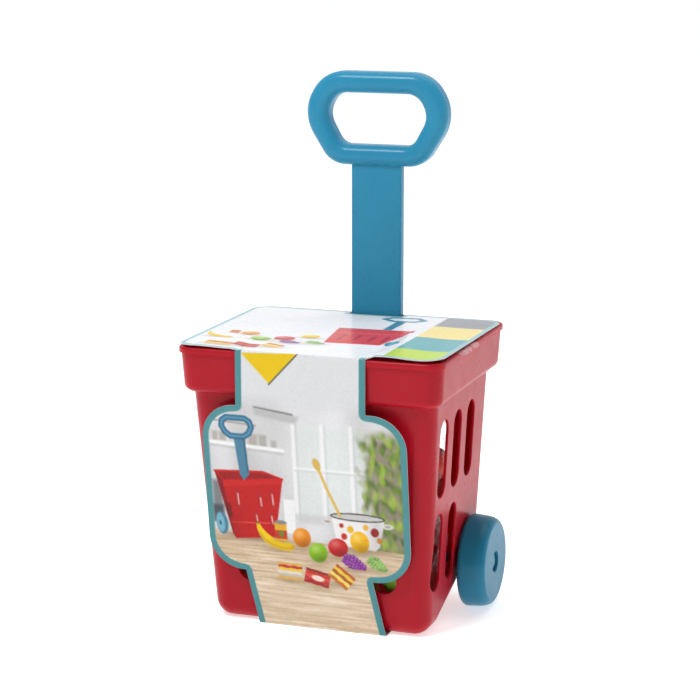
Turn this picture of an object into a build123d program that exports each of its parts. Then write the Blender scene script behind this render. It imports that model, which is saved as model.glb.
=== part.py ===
"""Toy pull-along shopping trolley: a moulded basket on two wheels with a push-down handle,
packed in a card sleeve with a bag of play food.

Millimetres. The origin is on the ground under the middle of the object, +Z up, the front
looks along -Y and the handle is at the back, +Y.
"""

import os
from math import atan2, cos, degrees, radians, sin

from build123d import *

# ---- driving dimensions -------------------------------------------------------------------
WALL = 2.4  # moulded wall of the basket

RIM_TOP = 250.0  # height of the basket's top edge
RIM_WIDTH = 240.0
RIM_DEPTH = 207.0
RIM_BAND = 40.0  # height of the wide band round the top
RIM_TAPER = 2.4  # how far the band draws in towards its lower edge
RIM_CORNER = 15.0
RIM_FILLET = 7.0
LIP_HEIGHT = 5.0
LIP_PROUD = 1.2
LIP_ROUND = 1.8

TUB_TOP = RIM_TOP - RIM_BAND
TUB_HALF_TOP = 110.5  # half width of the tub just under the band
TUB_HALF_FOOT = 99.4  # half width at the ground
TUB_FRONT_TOP = -93.3
TUB_FRONT_FOOT = -71.1
TUB_REAR_TOP = 85.6
TUB_REAR_FOOT = 80.0
TUB_ROUND = 16.0
FOOT_REAR = -37.0  # the flat foot ends here and the floor starts to climb
FLOOR_SLOPE = 0.35

SLOT_WIDTH = 24.0
SLOT_PITCH = 40.7
SLOT_EDGE = 0.8  # rounding of the slots' outer edges
SLOT_UPPER = (123.0, 192.6)
SLOT_LOWER = (38.8, 108.2)
SIDE_SLOT_FIRST = -54.3

WHEEL_RADIUS = 41.7
WHEEL_Y = 38.1
WHEEL_OUTER_X = 130.3
WHEEL_WIDTH = 25.3
WHEEL_SHELL = 2.6
HUB_RADIUS = 12.5
HUB_RECESS_RADIUS = 9.3
HUB_RECESS_DEPTH = 6.8
TREAD_EDGE = 4.0  # rounding of the tread's inner edge
TREAD_DROP = 0.8
SHOULDER = 11
FACE_DROP = 8.6
WHEEL_RIBS = 6
RIB = 2.0
PIN_RADIUS = 4.0
PIN_GAP = 0.3  # between the pin and the wheel that turns on it
PIN_SEAT = 0.05  # between the pin and the boss that holds it
PIN_HEAD = 7.8
PIN_HEAD_HEIGHT = 5.0
PIN_BARB = 4.9
PIN_SLIT = 1.4
BOSS_RADIUS = 10.0
BOSS_LENGTH = 16.0
BOSS_GAP = 0.4

HANDLE_Y = 92.0  # middle plane of the handle
BAR_WIDTH = 47.6
BAR_THICK = 10.0
BAR_WALL = 2.4
BAR_EDGE = 1.6
BAR_RIBS = 6
BAR_BOTTOM = 190.0
LUG_HEIGHT = 9.0
LUG_GAP = 0.5  # between the stop lugs and the underside of the basket's ledge
LUG_PROUD = 2.4
LUG_INSET = 1.5  # the lugs are thinner than the bar by this much on each face
GRIP_RIBS = (-24.0, 0.0, 24.0)  # places of the short ribs across the grip's hollow
GUIDE_GAP = 0.6
GUIDE_WALL = 2.4
GUIDE_BOTTOM = 51.5
COVER_FLANGE = 9.0
SCREW_HEIGHTS = (74.0, 186.0)
SCREW_RADIUS = 1.6
SCREW_LENGTH = 9.0
SCREW_HEAD = 3.2
SCREW_HEAD_HEIGHT = 1.9
SCREW_BOSS = 4.2

LOOP_TOP = 473.6
LOOP_WIDEST = 436.0
LOOP_BOTTOM = 388.8
LOOP_HALVES = (50.0, 73.5, 44.0)  # half widths at the top, widest and bottom corners
LOOP_ROUNDS = (33.0, 38.0, 25.0)
HOLE_TOP = 454.3
HOLE_WIDEST = 434.0
HOLE_BOTTOM = 407.3
HOLE_HALVES = (39.0, 48.5, 34.0)
HOLE_ROUNDS = (17.0, 19.0, 13.0)
LOOP_DEPTH = 20.0
LOOP_EDGE = 8.5  # rounding of the grip's front edges
LOOP_BACK_EDGE = 2.0
LOOP_WALL = 3.0
LOOP_FACE = 5.0  # thickness left in front of the hollow at the back

CARD = 0.7
CARD_GAP = 0.5
CARD_WIDTH = 238.0
CARD_REAR = 95.0
CARD_STRAP = 117.0
CARD_SHIFT = -4.5  # the strap hangs a little to the left of the middle
CARD_SLANT = 10.0  # and its lower end is this far to the right of its upper end
CARD_PANEL = (185.0, 154.0)  # width and height of the broad panel
CARD_PANEL_ROUND = 31.0
CARD_PANEL_LOW = 50.5
CARD_FOLD = 205.0  # height of the crease below the rim band
CARD_FOOT = -75.5  # where the strap turns under the foot
CARD_TUCK = 54.0  # length of the flap under the foot
CARD_NOTCH_GAP = 1.8
CARD_WIDTH_FRONT = 102.0  # the top panel reaches this far forward beside the strap
CARD_UNDER_FOOT = 0.4
FOOT_RECESS = 1.6

BAG_GAP = 2.5  # clear film lies this far inside the basket's wall
BAG_FILM = 0.4
BAG_REAR = 20.0
BAG_TOP = 196.0
FILM_EDGE = 6.0

# food: centres as (x, y, z)
ORANGE = (79.0, -47.0, 147.0)
ORANGE_RADIUS = 22.0
APPLE = (72.0, -46.0, 48.0)
APPLE_RADIUS = 22.0
TOMATO = (81.0, -5.0, 139.0)
TOMATO_RADIUS = 18.5
LEMON = (22.0, -38.0, 29.0)
LEMON_RADIUS = 17.0
LEMON_HALF = 26.0
GRAPE = 7.4
PURPLE_GRAPES = (-44.0, -40.0, 32.0)
GREEN_GRAPES = (-14.0, 0.0, 76.0)
TIN = (30.0, -52.0, 74.0)
TIN_RADIUS = 15.0
TIN_HEIGHT = 42.0
BANANA = (-42.0, -30.0, 116.0)  # middle of the curve's circle
BANANA_CURVE = 46.0
BANANA_RADIUS = 11.5
SANDWICH = (-58.0, -34.0, 152.0)
SANDWICH_SIZE = (64.0, 24.0, 56.0)
SNACK_BOX = (8.0, -62.0, 142.0)
SNACK_SIZE = (56.0, 14.0, 40.0)
WAFER_PACK = (6.0, -34.0, 148.0)
WAFER_SIZE = (58.0, 15.0, 38.0)

os.makedirs("parts", exist_ok=True)


def save(builder, name):
    builder.part.label = name
    export_step(builder.part, f"parts/{name}.step")


# ---- shapes used more than once -----------------------------------------------------------
def tub_half(z):
    """Outer half width of the tub at height z."""
    return TUB_HALF_FOOT + (TUB_HALF_TOP - TUB_HALF_FOOT) * z / TUB_TOP


def tub_front(z):
    """Outer face of the tub's front wall at height z."""
    return TUB_FRONT_FOOT + (TUB_FRONT_TOP - TUB_FRONT_FOOT) * z / TUB_TOP


def tub_rear(z):
    """Outer face of the tub's rear wall at height z."""
    return TUB_REAR_FOOT + (TUB_REAR_TOP - TUB_REAR_FOOT) * z / TUB_TOP


def tub_form(inset, top, rear=None):
    """The tub as a solid, drawn in by inset on every side but the top, and cut off at rear."""
    floor = inset
    slope_rear = FLOOR_SLOPE * (tub_rear(0) - FOOT_REAR)
    profile = [
        (tub_front(floor) + inset, floor),
        (FOOT_REAR, floor),
        (tub_rear(slope_rear) - inset, slope_rear + floor),
        (tub_rear(top) - inset, top),
        (tub_front(top) + inset, top),
    ]
    lean = degrees(atan2(TUB_HALF_TOP - TUB_HALF_FOOT, TUB_TOP))
    with BuildPart() as form:
        with BuildSketch(Plane.YZ):
            Polygon(*profile, align=None)
        extrude(amount=RIM_WIDTH / 2, both=True)
        for side in (-1, 1):
            wall = Plane(
                origin=(side * (TUB_HALF_FOOT - inset), 0, 0),
                z_dir=(side * cos(radians(lean)), 0, -sin(radians(lean))),
            )
            split(bisect_by=wall, keep=Keep.BOTTOM)
        if rear is not None:
            split(bisect_by=Plane(origin=(0, rear, 0), z_dir=(0, 1, 0)), keep=Keep.BOTTOM)
        low = form.edges().filter_by(lambda e: e.center().Z < top - 1)
        fillet(low, TUB_ROUND - inset)
    return form.part


def band_form(inset, bottom):
    """The wide band round the top as a solid, drawn in by inset, from height bottom up."""
    rise = RIM_TOP - bottom
    draw = RIM_TAPER * rise / RIM_BAND
    with BuildPart() as form:
        with BuildSketch(Plane.XY.offset(bottom)):
            RectangleRounded(
                RIM_WIDTH - 2 * (LIP_PROUD + inset + draw),
                RIM_DEPTH - 2 * (LIP_PROUD + inset + draw),
                RIM_CORNER - inset,
            )
        with BuildSketch(Plane.XY.offset(RIM_TOP)):
            RectangleRounded(
                RIM_WIDTH - 2 * (LIP_PROUD + inset),
                RIM_DEPTH - 2 * (LIP_PROUD + inset),
                RIM_CORNER - inset,
            )
        loft()
        fillet(form.faces().sort_by(Axis.Z)[0].edges(), RIM_FILLET - inset)
    return form.part


def on_slot_mouth(edge):
    """True for an edge of a slot in the outer face of the tub's side walls or front wall."""
    spot = edge.position_at(0.5)
    on_wall = min(abs(abs(spot.X) - tub_half(spot.Z)), abs(spot.Y - tub_front(spot.Z))) < 0.05
    by_slots = SLOT_LOWER[0] - 1 < spot.Z < SLOT_UPPER[1] + 1
    by_boss = spot.Z < SLOT_LOWER[1] and spot.Y > WHEEL_Y - BOSS_RADIUS - 1
    return on_wall and by_slots and not by_boss and edge.length < 2 * SLOT_PITCH


def slot_cutter(plane, spots, reach):
    """Upright slots with round ends, one at each (along, low, high), cut to reach."""
    with BuildPart() as cutter:
        with BuildSketch(plane):
            for along, low, high in spots:
                with Locations((along, (low + high) / 2)):
                    SlotOverall(high - low, SLOT_WIDTH, rotation=90)
        extrude(amount=reach)
    return cutter.part


# ---- places worked out from the dimensions ------------------------------------------------
side_spots = [(SIDE_SLOT_FIRST + SLOT_PITCH * i, *SLOT_UPPER) for i in range(3)]
side_spots += [(SIDE_SLOT_FIRST + SLOT_PITCH * i, *SLOT_LOWER) for i in range(2)]
front_columns = [SLOT_PITCH * (i - 1.5) for i in range(4)]
front_spots = [(x, *row) for x in front_columns for row in (SLOT_UPPER, SLOT_LOWER)]
rear_spots = [(x, *SLOT_UPPER) for x in (front_columns[0], front_columns[3])]

bar_half = BAR_WIDTH / 2
bar_front = HANDLE_Y - BAR_THICK / 2
bar_rear = HANDLE_Y + BAR_THICK / 2
guide_half = bar_half + LUG_PROUD + GUIDE_GAP
guide_front = bar_front - GUIDE_GAP
guide_rear = bar_rear + GUIDE_GAP
guide_side = guide_half + GUIDE_WALL
screw_x = guide_side + SCREW_BOSS - 0.8
screw_spots = [(side * screw_x, z) for side in (-1, 1) for z in SCREW_HEIGHTS]

wheel_inner = WHEEL_OUTER_X - WHEEL_WIDTH
boss_outer = wheel_inner - BOSS_GAP
boss_inner = boss_outer - BOSS_LENGTH
behind = 70.0  # a depth inside the tub's rear wall, where the channel's ribs start

axle_plane = Plane(origin=(0, WHEEL_Y, WHEEL_RADIUS), x_dir=(0, 1, 0), z_dir=(1, 0, 0))
wheel_plane = Plane(origin=(0, WHEEL_Y, WHEEL_RADIUS), x_dir=(1, 0, 0), z_dir=(0, -1, 0))
axle = Axis((0, WHEEL_Y, WHEEL_RADIUS), (1, 0, 0))
rear_plane = Plane(origin=(0, guide_rear, 0), x_dir=(1, 0, 0), z_dir=(0, -1, 0))


# ---- basket -------------------------------------------------------------------------------
outer_tub = tub_form(0, TUB_TOP + 6)
inner_tub = tub_form(WALL, TUB_TOP + 8)
outer_band = band_form(0, TUB_TOP)
inner_band = band_form(WALL, TUB_TOP + WALL)
side_slots = slot_cutter(Plane.YZ.offset(-RIM_WIDTH / 2), side_spots, RIM_WIDTH)
front_slots = slot_cutter(Plane.XZ.offset(40), front_spots, 80)
rear_slots = slot_cutter(Plane.XZ.offset(-60), rear_spots, -40)

with BuildPart() as basket:
    add(outer_tub)
    add(outer_band)
    # rounded lip along the top edge
    with BuildSketch(Plane.XY.offset(RIM_TOP - LIP_HEIGHT)):
        RectangleRounded(RIM_WIDTH, RIM_DEPTH, RIM_CORNER)
    extrude(amount=LIP_HEIGHT)
    fillet(basket.faces().sort_by(Axis.Z)[-1].edges(), LIP_ROUND)
    # handle channel down the outside of the rear wall: two cheeks, two rails and a bottom
    with BuildSketch(Plane.XY.offset(GUIDE_BOTTOM)):
        for side in (-1, 1):
            with Locations((side * (guide_half + GUIDE_WALL / 2), (behind + guide_rear) / 2)):
                Rectangle(GUIDE_WALL, guide_rear - behind)
            with Locations((side * bar_half / 2, (behind + guide_front) / 2)):
                Rectangle(GUIDE_WALL, guide_front - behind)
    extrude(amount=TUB_TOP + 1 - GUIDE_BOTTOM)
    with BuildSketch(Plane.XY.offset(GUIDE_BOTTOM)):
        with Locations((0, (behind + guide_rear) / 2)):
            Rectangle(2 * guide_side, guide_rear - behind)
    extrude(amount=GUIDE_WALL)
    # screw bosses beside the channel
    with BuildSketch(rear_plane):
        with Locations(*screw_spots):
            Circle(SCREW_BOSS)
    extrude(amount=guide_rear - behind)
    # hollow it
    add(inner_tub, mode=Mode.SUBTRACT)
    add(inner_band, mode=Mode.SUBTRACT)
    # wheel bosses through the side walls
    for side in (-1, 1):
        with BuildSketch(axle_plane.offset(side * boss_inner)):
            Circle(BOSS_RADIUS)
        extrude(amount=side * BOSS_LENGTH)
    add(side_slots, mode=Mode.SUBTRACT)
    add(front_slots, mode=Mode.SUBTRACT)
    add(rear_slots, mode=Mode.SUBTRACT)
    # the bar's way through the ledge, and the relief for it in the band's rear wall
    with BuildSketch(Plane.XY.offset(TUB_TOP - 1)):
        with Locations((0, HANDLE_Y)):
            Rectangle(BAR_WIDTH + 2 * GUIDE_GAP, BAR_THICK + 2 * GUIDE_GAP)
    extrude(amount=RIM_BAND, mode=Mode.SUBTRACT)
    # pin bores and screw pilots
    with BuildSketch(axle_plane.offset(-RIM_WIDTH / 2)):
        Circle(PIN_RADIUS + PIN_SEAT)
    extrude(amount=RIM_WIDTH, mode=Mode.SUBTRACT)
    with BuildSketch(rear_plane):
        with Locations(*screw_spots):
            Circle(SCREW_RADIUS + PIN_SEAT)
    extrude(amount=SCREW_LENGTH, mode=Mode.SUBTRACT)
    # shallow recess under the foot, where the card passes
    with BuildSketch(Plane.XY):
        with Locations((CARD_SHIFT + CARD_SLANT, FOOT_REAR - 10)):
            Rectangle(CARD_STRAP + 14, 100)
    extrude(amount=FOOT_RECESS, mode=Mode.SUBTRACT)
    mouths = basket.edges().filter_by(on_slot_mouth)
    fillet(mouths, SLOT_EDGE)
    print("slot mouths rounded:", len(mouths) // 4)
save(basket, "basket")

# ---- handle guide cover and its screws ----------------------------------------------------
cover_top = TUB_TOP - 1.0
cover_half = guide_side + COVER_FLANGE

with BuildPart() as handle_guide_cover:
    with BuildSketch(rear_plane):
        with Locations((0, (GUIDE_BOTTOM + cover_top) / 2)):
            RectangleRounded(2 * cover_half, cover_top - GUIDE_BOTTOM, 5)
    extrude(amount=-GUIDE_WALL)
    # a raised panel over the channel
    with BuildSketch(rear_plane.offset(-GUIDE_WALL)):
        with Locations((0, (GUIDE_BOTTOM + cover_top) / 2)):
            RectangleRounded(2 * guide_half - 6, cover_top - GUIDE_BOTTOM - 14, 8)
    extrude(amount=-1.2, taper=30)
    with BuildSketch(rear_plane):
        with Locations(*screw_spots):
            Circle(SCREW_RADIUS + PIN_GAP)
    extrude(amount=-GUIDE_WALL, mode=Mode.SUBTRACT)
save(handle_guide_cover, "handle_guide_cover")

head_plane = rear_plane.offset(-GUIDE_WALL)
with BuildPart() as guide_screws:
    with BuildSketch(head_plane):
        with Locations(*screw_spots):
            Circle(SCREW_HEAD)
    extrude(amount=-SCREW_HEAD_HEIGHT)
    fillet(guide_screws.faces().sort_by(Axis.Y)[-4:].edges(), 0.7)
    with BuildSketch(head_plane):
        with Locations(*screw_spots):
            Circle(SCREW_RADIUS)
    extrude(amount=SCREW_LENGTH)
    # cross recess
    with BuildSketch(head_plane.offset(-SCREW_HEAD_HEIGHT)):
        with Locations(*screw_spots):
            Rectangle(0.8, 3.4)
            Rectangle(3.4, 0.8)
    extrude(amount=1.1, mode=Mode.SUBTRACT)
save(guide_screws, "guide_screws")

# ---- handle -------------------------------------------------------------------------------
handle_plane = Plane(origin=(0, HANDLE_Y, 0), x_dir=(1, 0, 0), z_dir=(0, -1, 0))
loop_back = handle_plane.offset(-LOOP_DEPTH / 2)
bar_top = LOOP_BOTTOM + 6


def ring(heights, halves, rounds):
    """A six-cornered outline with rounded corners, wider in the middle than at its ends."""
    corners = list(zip(halves, heights))
    with BuildSketch() as outline:
        Polygon(*corners, *[(-x, z) for x, z in reversed(corners)], align=None)
        for level, radius in zip(heights, rounds):
            spots = outline.vertices().filter_by(lambda v: abs(v.Y - level) < 0.1)
            fillet(spots, radius)
    return outline.sketch


outer_ring = ring((LOOP_TOP, LOOP_WIDEST, LOOP_BOTTOM), LOOP_HALVES, LOOP_ROUNDS)
inner_ring = ring((HOLE_TOP, HOLE_WIDEST, HOLE_BOTTOM), HOLE_HALVES, HOLE_ROUNDS)

with BuildPart() as handle:
    with BuildSketch(loop_back):
        add(outer_ring)
        add(inner_ring, mode=Mode.SUBTRACT)
    extrude(amount=LOOP_DEPTH)
    fillet(handle.faces().sort_by(Axis.Y)[0].edges(), LOOP_EDGE)
    fillet(handle.faces().sort_by(Axis.Y)[-1].edges(), LOOP_BACK_EDGE)
    # flat bar
    with BuildSketch(handle_plane.offset(-BAR_THICK / 2)):
        with Locations((0, (BAR_BOTTOM + bar_top) / 2)):
            Rectangle(BAR_WIDTH, bar_top - BAR_BOTTOM)
    extrude(amount=BAR_THICK)
    bar_edges = handle.edges().filter_by(Axis.Z).filter_by(lambda e: e.length > 100)
    fillet(bar_edges, BAR_EDGE)
    # the bar and the grip are hollow from the back
    with BuildSketch(loop_back):
        offset(outer_ring, -LOOP_WALL)
        offset(inner_ring, LOOP_WALL, mode=Mode.SUBTRACT)
    extrude(amount=LOOP_DEPTH - LOOP_FACE, mode=Mode.SUBTRACT)
    with BuildSketch(handle_plane.offset(-BAR_THICK / 2)):
        with Locations((0, (BAR_BOTTOM + LOOP_BOTTOM) / 2)):
            Rectangle(BAR_WIDTH - 2 * BAR_WALL, LOOP_BOTTOM - BAR_BOTTOM - 2 * BAR_WALL)
    extrude(amount=BAR_THICK - BAR_WALL, mode=Mode.SUBTRACT)
    # cross ribs in the bar and two long ones
    rib_step = (LOOP_BOTTOM - BAR_BOTTOM) / (BAR_RIBS + 1)
    with BuildSketch(handle_plane.offset(-BAR_THICK / 2 + 1)):
        for i in range(1, BAR_RIBS + 1):
            with Locations((0, BAR_BOTTOM + i * rib_step)):
                Rectangle(BAR_WIDTH - 2, RIB)
        with Locations((0, (BAR_BOTTOM + LOOP_BOTTOM) / 2)):
            Rectangle(RIB, LOOP_BOTTOM - BAR_BOTTOM - 2)
    extrude(amount=BAR_THICK - 2)
    # short ribs across the hollow of the grip
    with BuildSketch(loop_back.offset(1.5)):
        for x in GRIP_RIBS:
            with Locations((x, (LOOP_TOP + HOLE_TOP) / 2), (x, (LOOP_BOTTOM + HOLE_BOTTOM) / 2)):
                Rectangle(RIB, LOOP_TOP - HOLE_TOP - LOOP_WALL)
    extrude(amount=LOOP_DEPTH - LOOP_FACE)
    # stop lugs beside the bar's lower end
    lug_top = TUB_TOP - LUG_GAP
    with BuildSketch(handle_plane.offset(-BAR_THICK / 2 + LUG_INSET)):
        with Locations((0, lug_top - LUG_HEIGHT / 2)):
            Rectangle(BAR_WIDTH + 2 * LUG_PROUD, LUG_HEIGHT)
            Rectangle(BAR_WIDTH - 2 * BAR_WALL, LUG_HEIGHT, mode=Mode.SUBTRACT)
    extrude(amount=BAR_THICK - 2 * LUG_INSET)
save(handle, "handle")


# ---- wheels and their pins ----------------------------------------------------------------
def wheel_form():
    """The right wheel: a thick moulded disc, hollow on its inner side, with a hub and ribs."""
    outer = WHEEL_OUTER_X
    shell = WHEEL_SHELL
    hollow_radius = WHEEL_RADIUS - shell - 0.6
    hollow_outer = outer - shell
    # the hollow on the inner side, left solid where the ribs stand
    with BuildPart() as hollow:
        with BuildSketch(wheel_plane):
            Polygon(
                (wheel_inner - 1, HUB_RADIUS),
                (wheel_inner - 1, hollow_radius),
                (outer - SHOULDER, hollow_radius - TREAD_DROP),
                (hollow_outer, WHEEL_RADIUS - FACE_DROP - shell),
                (hollow_outer, HUB_RADIUS),
                align=None,
            )
        revolve(axis=axle)
        with BuildSketch(axle_plane.offset(wheel_inner + 3)):
            with PolarLocations((HUB_RADIUS + WHEEL_RADIUS) / 2, WHEEL_RIBS, start_angle=30):
                Rectangle(WHEEL_RADIUS - HUB_RADIUS + 4, RIB)
        extrude(amount=WHEEL_WIDTH, mode=Mode.SUBTRACT)
    with BuildPart() as wheel:
        with BuildSketch(wheel_plane):
            with BuildLine():
                inner_side = Line((wheel_inner, 0), (wheel_inner, WHEEL_RADIUS - TREAD_EDGE))
                edge = RadiusArc(
                    inner_side @ 1, (wheel_inner + TREAD_EDGE, WHEEL_RADIUS), TREAD_EDGE
                )
                tread = Line(edge @ 1, (outer - SHOULDER, WHEEL_RADIUS - TREAD_DROP))
                shoulder = Spline(
                    tread @ 1,
                    (outer, WHEEL_RADIUS - FACE_DROP),
                    tangents=[tread % 1, (-0.12, -1)],
                )
                Line(shoulder @ 1, (outer, 0))
                Line((outer, 0), inner_side @ 0)
            make_face()
        revolve(axis=axle)
        add(hollow.part, mode=Mode.SUBTRACT)
        # bore for the pin, and the recess that its head sits in
        with BuildSketch(axle_plane.offset(wheel_inner - 1)):
            Circle(PIN_RADIUS + PIN_GAP)
        extrude(amount=WHEEL_WIDTH + 2, mode=Mode.SUBTRACT)
        with BuildSketch(axle_plane.offset(outer - HUB_RECESS_DEPTH)):
            Circle(HUB_RECESS_RADIUS)
        extrude(amount=HUB_RECESS_DEPTH + 1, mode=Mode.SUBTRACT)
        mouth = wheel.edges().filter_by(GeomType.CIRCLE).filter_by(
            lambda e: abs(e.center().X - outer) < 0.1 and abs(e.radius - HUB_RECESS_RADIUS) < 0.1
        )
        fillet(mouth, 1.0)
    return wheel.part


def pin_form():
    """The right axle pin: a domed head, a shaft and a split snap end behind the boss."""
    seat = WHEEL_OUTER_X - HUB_RECESS_DEPTH + PIN_GAP
    with BuildPart() as pin:
        with BuildSketch(wheel_plane):
            with BuildLine():
                outline = Polyline(
                    (seat + PIN_HEAD_HEIGHT, 0),
                    (boss_inner - 6, 0),
                    (boss_inner - 6, PIN_RADIUS - 1),
                    (boss_inner - 1.6, PIN_BARB),
                    (boss_inner - PIN_GAP, PIN_BARB),
                    (boss_inner - PIN_GAP, PIN_RADIUS),
                    (seat, PIN_RADIUS),
                    (seat, PIN_HEAD),
                    (seat + 1.5, PIN_HEAD),
                )
                Spline(
                    outline @ 1,
                    (seat + PIN_HEAD_HEIGHT, 0),
                    tangents=[(1, 0), (0, -1)],
                )
            make_face()
        revolve(axis=axle)
        with BuildSketch(axle_plane.offset(boss_inner - 7)):
            Rectangle(PIN_SLIT, 4 * PIN_RADIUS)
        extrude(amount=13, mode=Mode.SUBTRACT)
    return pin.part


for form, kind in ((wheel_form(), "wheel"), (pin_form(), "axle_pin")):
    with BuildPart() as right_one:
        add(form)
    save(right_one, f"right_{kind}")
    with BuildPart() as left_one:
        mirror(form, about=Plane.YZ)
    save(left_one, f"left_{kind}")

# ---- card sleeve --------------------------------------------------------------------------
card_under = RIM_TOP + CARD_GAP
card_front = -RIM_DEPTH / 2 - CARD_GAP  # inner face of the flap in front of the rim band
strap_x = CARD_SHIFT
foot_x = CARD_SHIFT + CARD_SLANT
panel_width, panel_height = CARD_PANEL
crease = (0, card_front, CARD_FOLD)
flap_drop = CARD_FOLD - CARD_UNDER_FOOT
lean = atan2(CARD_FOOT - card_front, flap_drop)
flap_length = flap_drop / cos(lean)
flap_plane = Plane(origin=crease, x_dir=(1, 0, 0), z_dir=(0, -cos(lean), -sin(lean)))
panel_low = (CARD_PANEL_LOW - CARD_FOLD) / cos(lean)
half_strap = CARD_STRAP / 2

with BuildPart() as card_sleeve:
    # top panel, notched round the handle's bar
    with BuildSketch(Plane.XY.offset(card_under)):
        with Locations((0, (CARD_REAR - CARD_WIDTH_FRONT) / 2)):
            RectangleRounded(CARD_WIDTH, CARD_REAR + CARD_WIDTH_FRONT, RIM_CORNER)
        with Locations((0, CARD_REAR)):
            notch_depth = CARD_REAR - bar_front + CARD_NOTCH_GAP
            Rectangle(BAR_WIDTH + 2 * CARD_NOTCH_GAP, 2 * notch_depth, mode=Mode.SUBTRACT)
    extrude(amount=CARD)
    # strap over the rim's edge and down the band
    with BuildSketch(Plane.XY.offset(card_under)):
        with Locations((strap_x, card_front + 12)):
            Rectangle(CARD_STRAP, 2 * (12 + CARD))
    extrude(amount=CARD)
    with BuildSketch(Plane.XZ.offset(-card_front)):
        with Locations((strap_x, (card_under + CARD + CARD_FOLD - CARD) / 2)):
            Rectangle(CARD_STRAP, card_under + 2 * CARD - CARD_FOLD)
    extrude(amount=CARD)
    # broad panel and lower strap, leaning back to the foot
    with BuildSketch(flap_plane):
        with Locations((strap_x + 1.5, panel_low + panel_height / 2)):
            RectangleRounded(panel_width, panel_height, CARD_PANEL_ROUND)
        with Locations((strap_x, -20)):
            Rectangle(CARD_STRAP, 40)
        Polygon(
            (strap_x - half_strap, panel_low + 20),
            (strap_x + half_strap, panel_low + 20),
            (strap_x + half_strap, panel_low),
            (foot_x + half_strap, -flap_length),
            (foot_x - half_strap, -flap_length),
            (strap_x - half_strap, panel_low),
            align=None,
        )
    extrude(amount=CARD)
    # flap tucked under the foot
    with BuildSketch(Plane.XY.offset(CARD_UNDER_FOOT)):
        with Locations((foot_x, CARD_FOOT - CARD + CARD_TUCK / 2)):
            Rectangle(CARD_STRAP, CARD_TUCK)
    extrude(amount=CARD)
save(card_sleeve, "card_sleeve")

# ---- clear film bag with the food in it ---------------------------------------------------
bag_outer_inset = WALL + BAG_GAP


def bag_form(skin):
    """The packed bag as a pillow that fills the front of the basket, drawn in by skin."""
    inset = bag_outer_inset + skin
    with BuildPart() as form:
        add(tub_form(inset, BAG_TOP - skin, rear=BAG_REAR - skin))
        fillet(form.faces().sort_by(Axis.Z)[-1].edges(), FILM_EDGE - skin)
    return form.part


with BuildPart() as food_bag:
    add(bag_form(0))
    add(bag_form(BAG_FILM), mode=Mode.SUBTRACT)
save(food_bag, "food_bag")


def ball(centre, radius, squash=1.0):
    """A round fruit, flattened to squash times its height, with a dimple at the top."""
    with BuildPart() as fruit:
        Sphere(radius)
        with Locations((0, 0, radius * 1.12)):
            Sphere(radius * 0.24, mode=Mode.SUBTRACT)
    body = fruit.part if squash == 1.0 else scale(fruit.part, by=(1, 1, squash))
    return Pos(*centre) * body


def bunch(centre, rows):
    """A bunch of grapes: rows of balls that all but touch, under a short stalk."""
    step = 2 * GRAPE + 0.3
    top = len(rows) / 2 * step
    with BuildPart() as grapes:
        for level, count in enumerate(rows):
            for i in range(count):
                x = (i - (count - 1) / 2) * step
                spots = [(x, side * step / 2, top - (level + 0.5) * step) for side in (-1, 1)]
                with Locations(*spots):
                    Sphere(GRAPE)
        with Locations((0, 0, top)):
            Cylinder(1.8, 10)
    return Pos(*centre) * grapes.part


def packet(centre, size):
    """A flat filled packet with a crimped edge at each end."""
    width, depth, height = size
    with BuildPart() as pack:
        Box(width - 10, depth, height)
        fillet(pack.edges(), 3.0)
        Box(width, 1.6, height - 2)
    return Pos(*centre) * pack.part


with BuildPart() as lemon:
    Sphere(LEMON_RADIUS)
lemon_body = scale(lemon.part, by=(LEMON_HALF / LEMON_RADIUS, 1, 1))

with BuildPart() as tin:
    Cylinder(TIN_RADIUS, TIN_HEIGHT)
    fillet(tin.edges(), 1.2)

with BuildPart() as banana:
    with BuildLine(Plane.XZ):
        curve = CenterArc((0, 0), BANANA_CURVE, 200, 140)
    with BuildSketch(Plane(origin=curve @ 0, z_dir=curve % 0)):
        Circle(BANANA_RADIUS)
    sweep()
    for end, outward in ((curve @ 0, -(curve % 0)), (curve @ 1, curve % 1)):
        with BuildSketch(Plane(origin=end, z_dir=outward)):
            Circle(BANANA_RADIUS)
        extrude(amount=14, taper=28)

with BuildPart() as sandwich:
    width, depth, height = SANDWICH_SIZE
    with BuildSketch(Plane.XZ):
        RectangleRounded(width, height, 8)
    extrude(amount=depth / 2, both=True)
    fillet(sandwich.faces().filter_by(Axis.Y).edges(), 2.0)

foods = {
    "orange": ball(ORANGE, ORANGE_RADIUS),
    "green_apple": ball(APPLE, APPLE_RADIUS),
    "tomato": ball(TOMATO, TOMATO_RADIUS),
    "lemon": Pos(*LEMON) * lemon_body,
    "banana": Pos(*BANANA) * banana.part,
    "purple_grapes": bunch(PURPLE_GRAPES, (3, 3, 2)),
    "green_grapes": bunch(GREEN_GRAPES, (3, 3, 2)),
    "tin_can": Pos(*TIN) * tin.part,
    "sandwich": Pos(*SANDWICH) * sandwich.part,
    "snack_box": packet(SNACK_BOX, SNACK_SIZE),
    "wafer_pack": packet(WAFER_PACK, WAFER_SIZE),
}
for name, shape in foods.items():
    with BuildPart() as food:
        add(shape)
    save(food, name)
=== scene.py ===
"""The looks of a toy shopping trolley in its retail packing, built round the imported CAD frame."""

import math
import random

import bmesh
import bpy
import numpy as np
from mathutils import Euler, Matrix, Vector, noise


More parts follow.
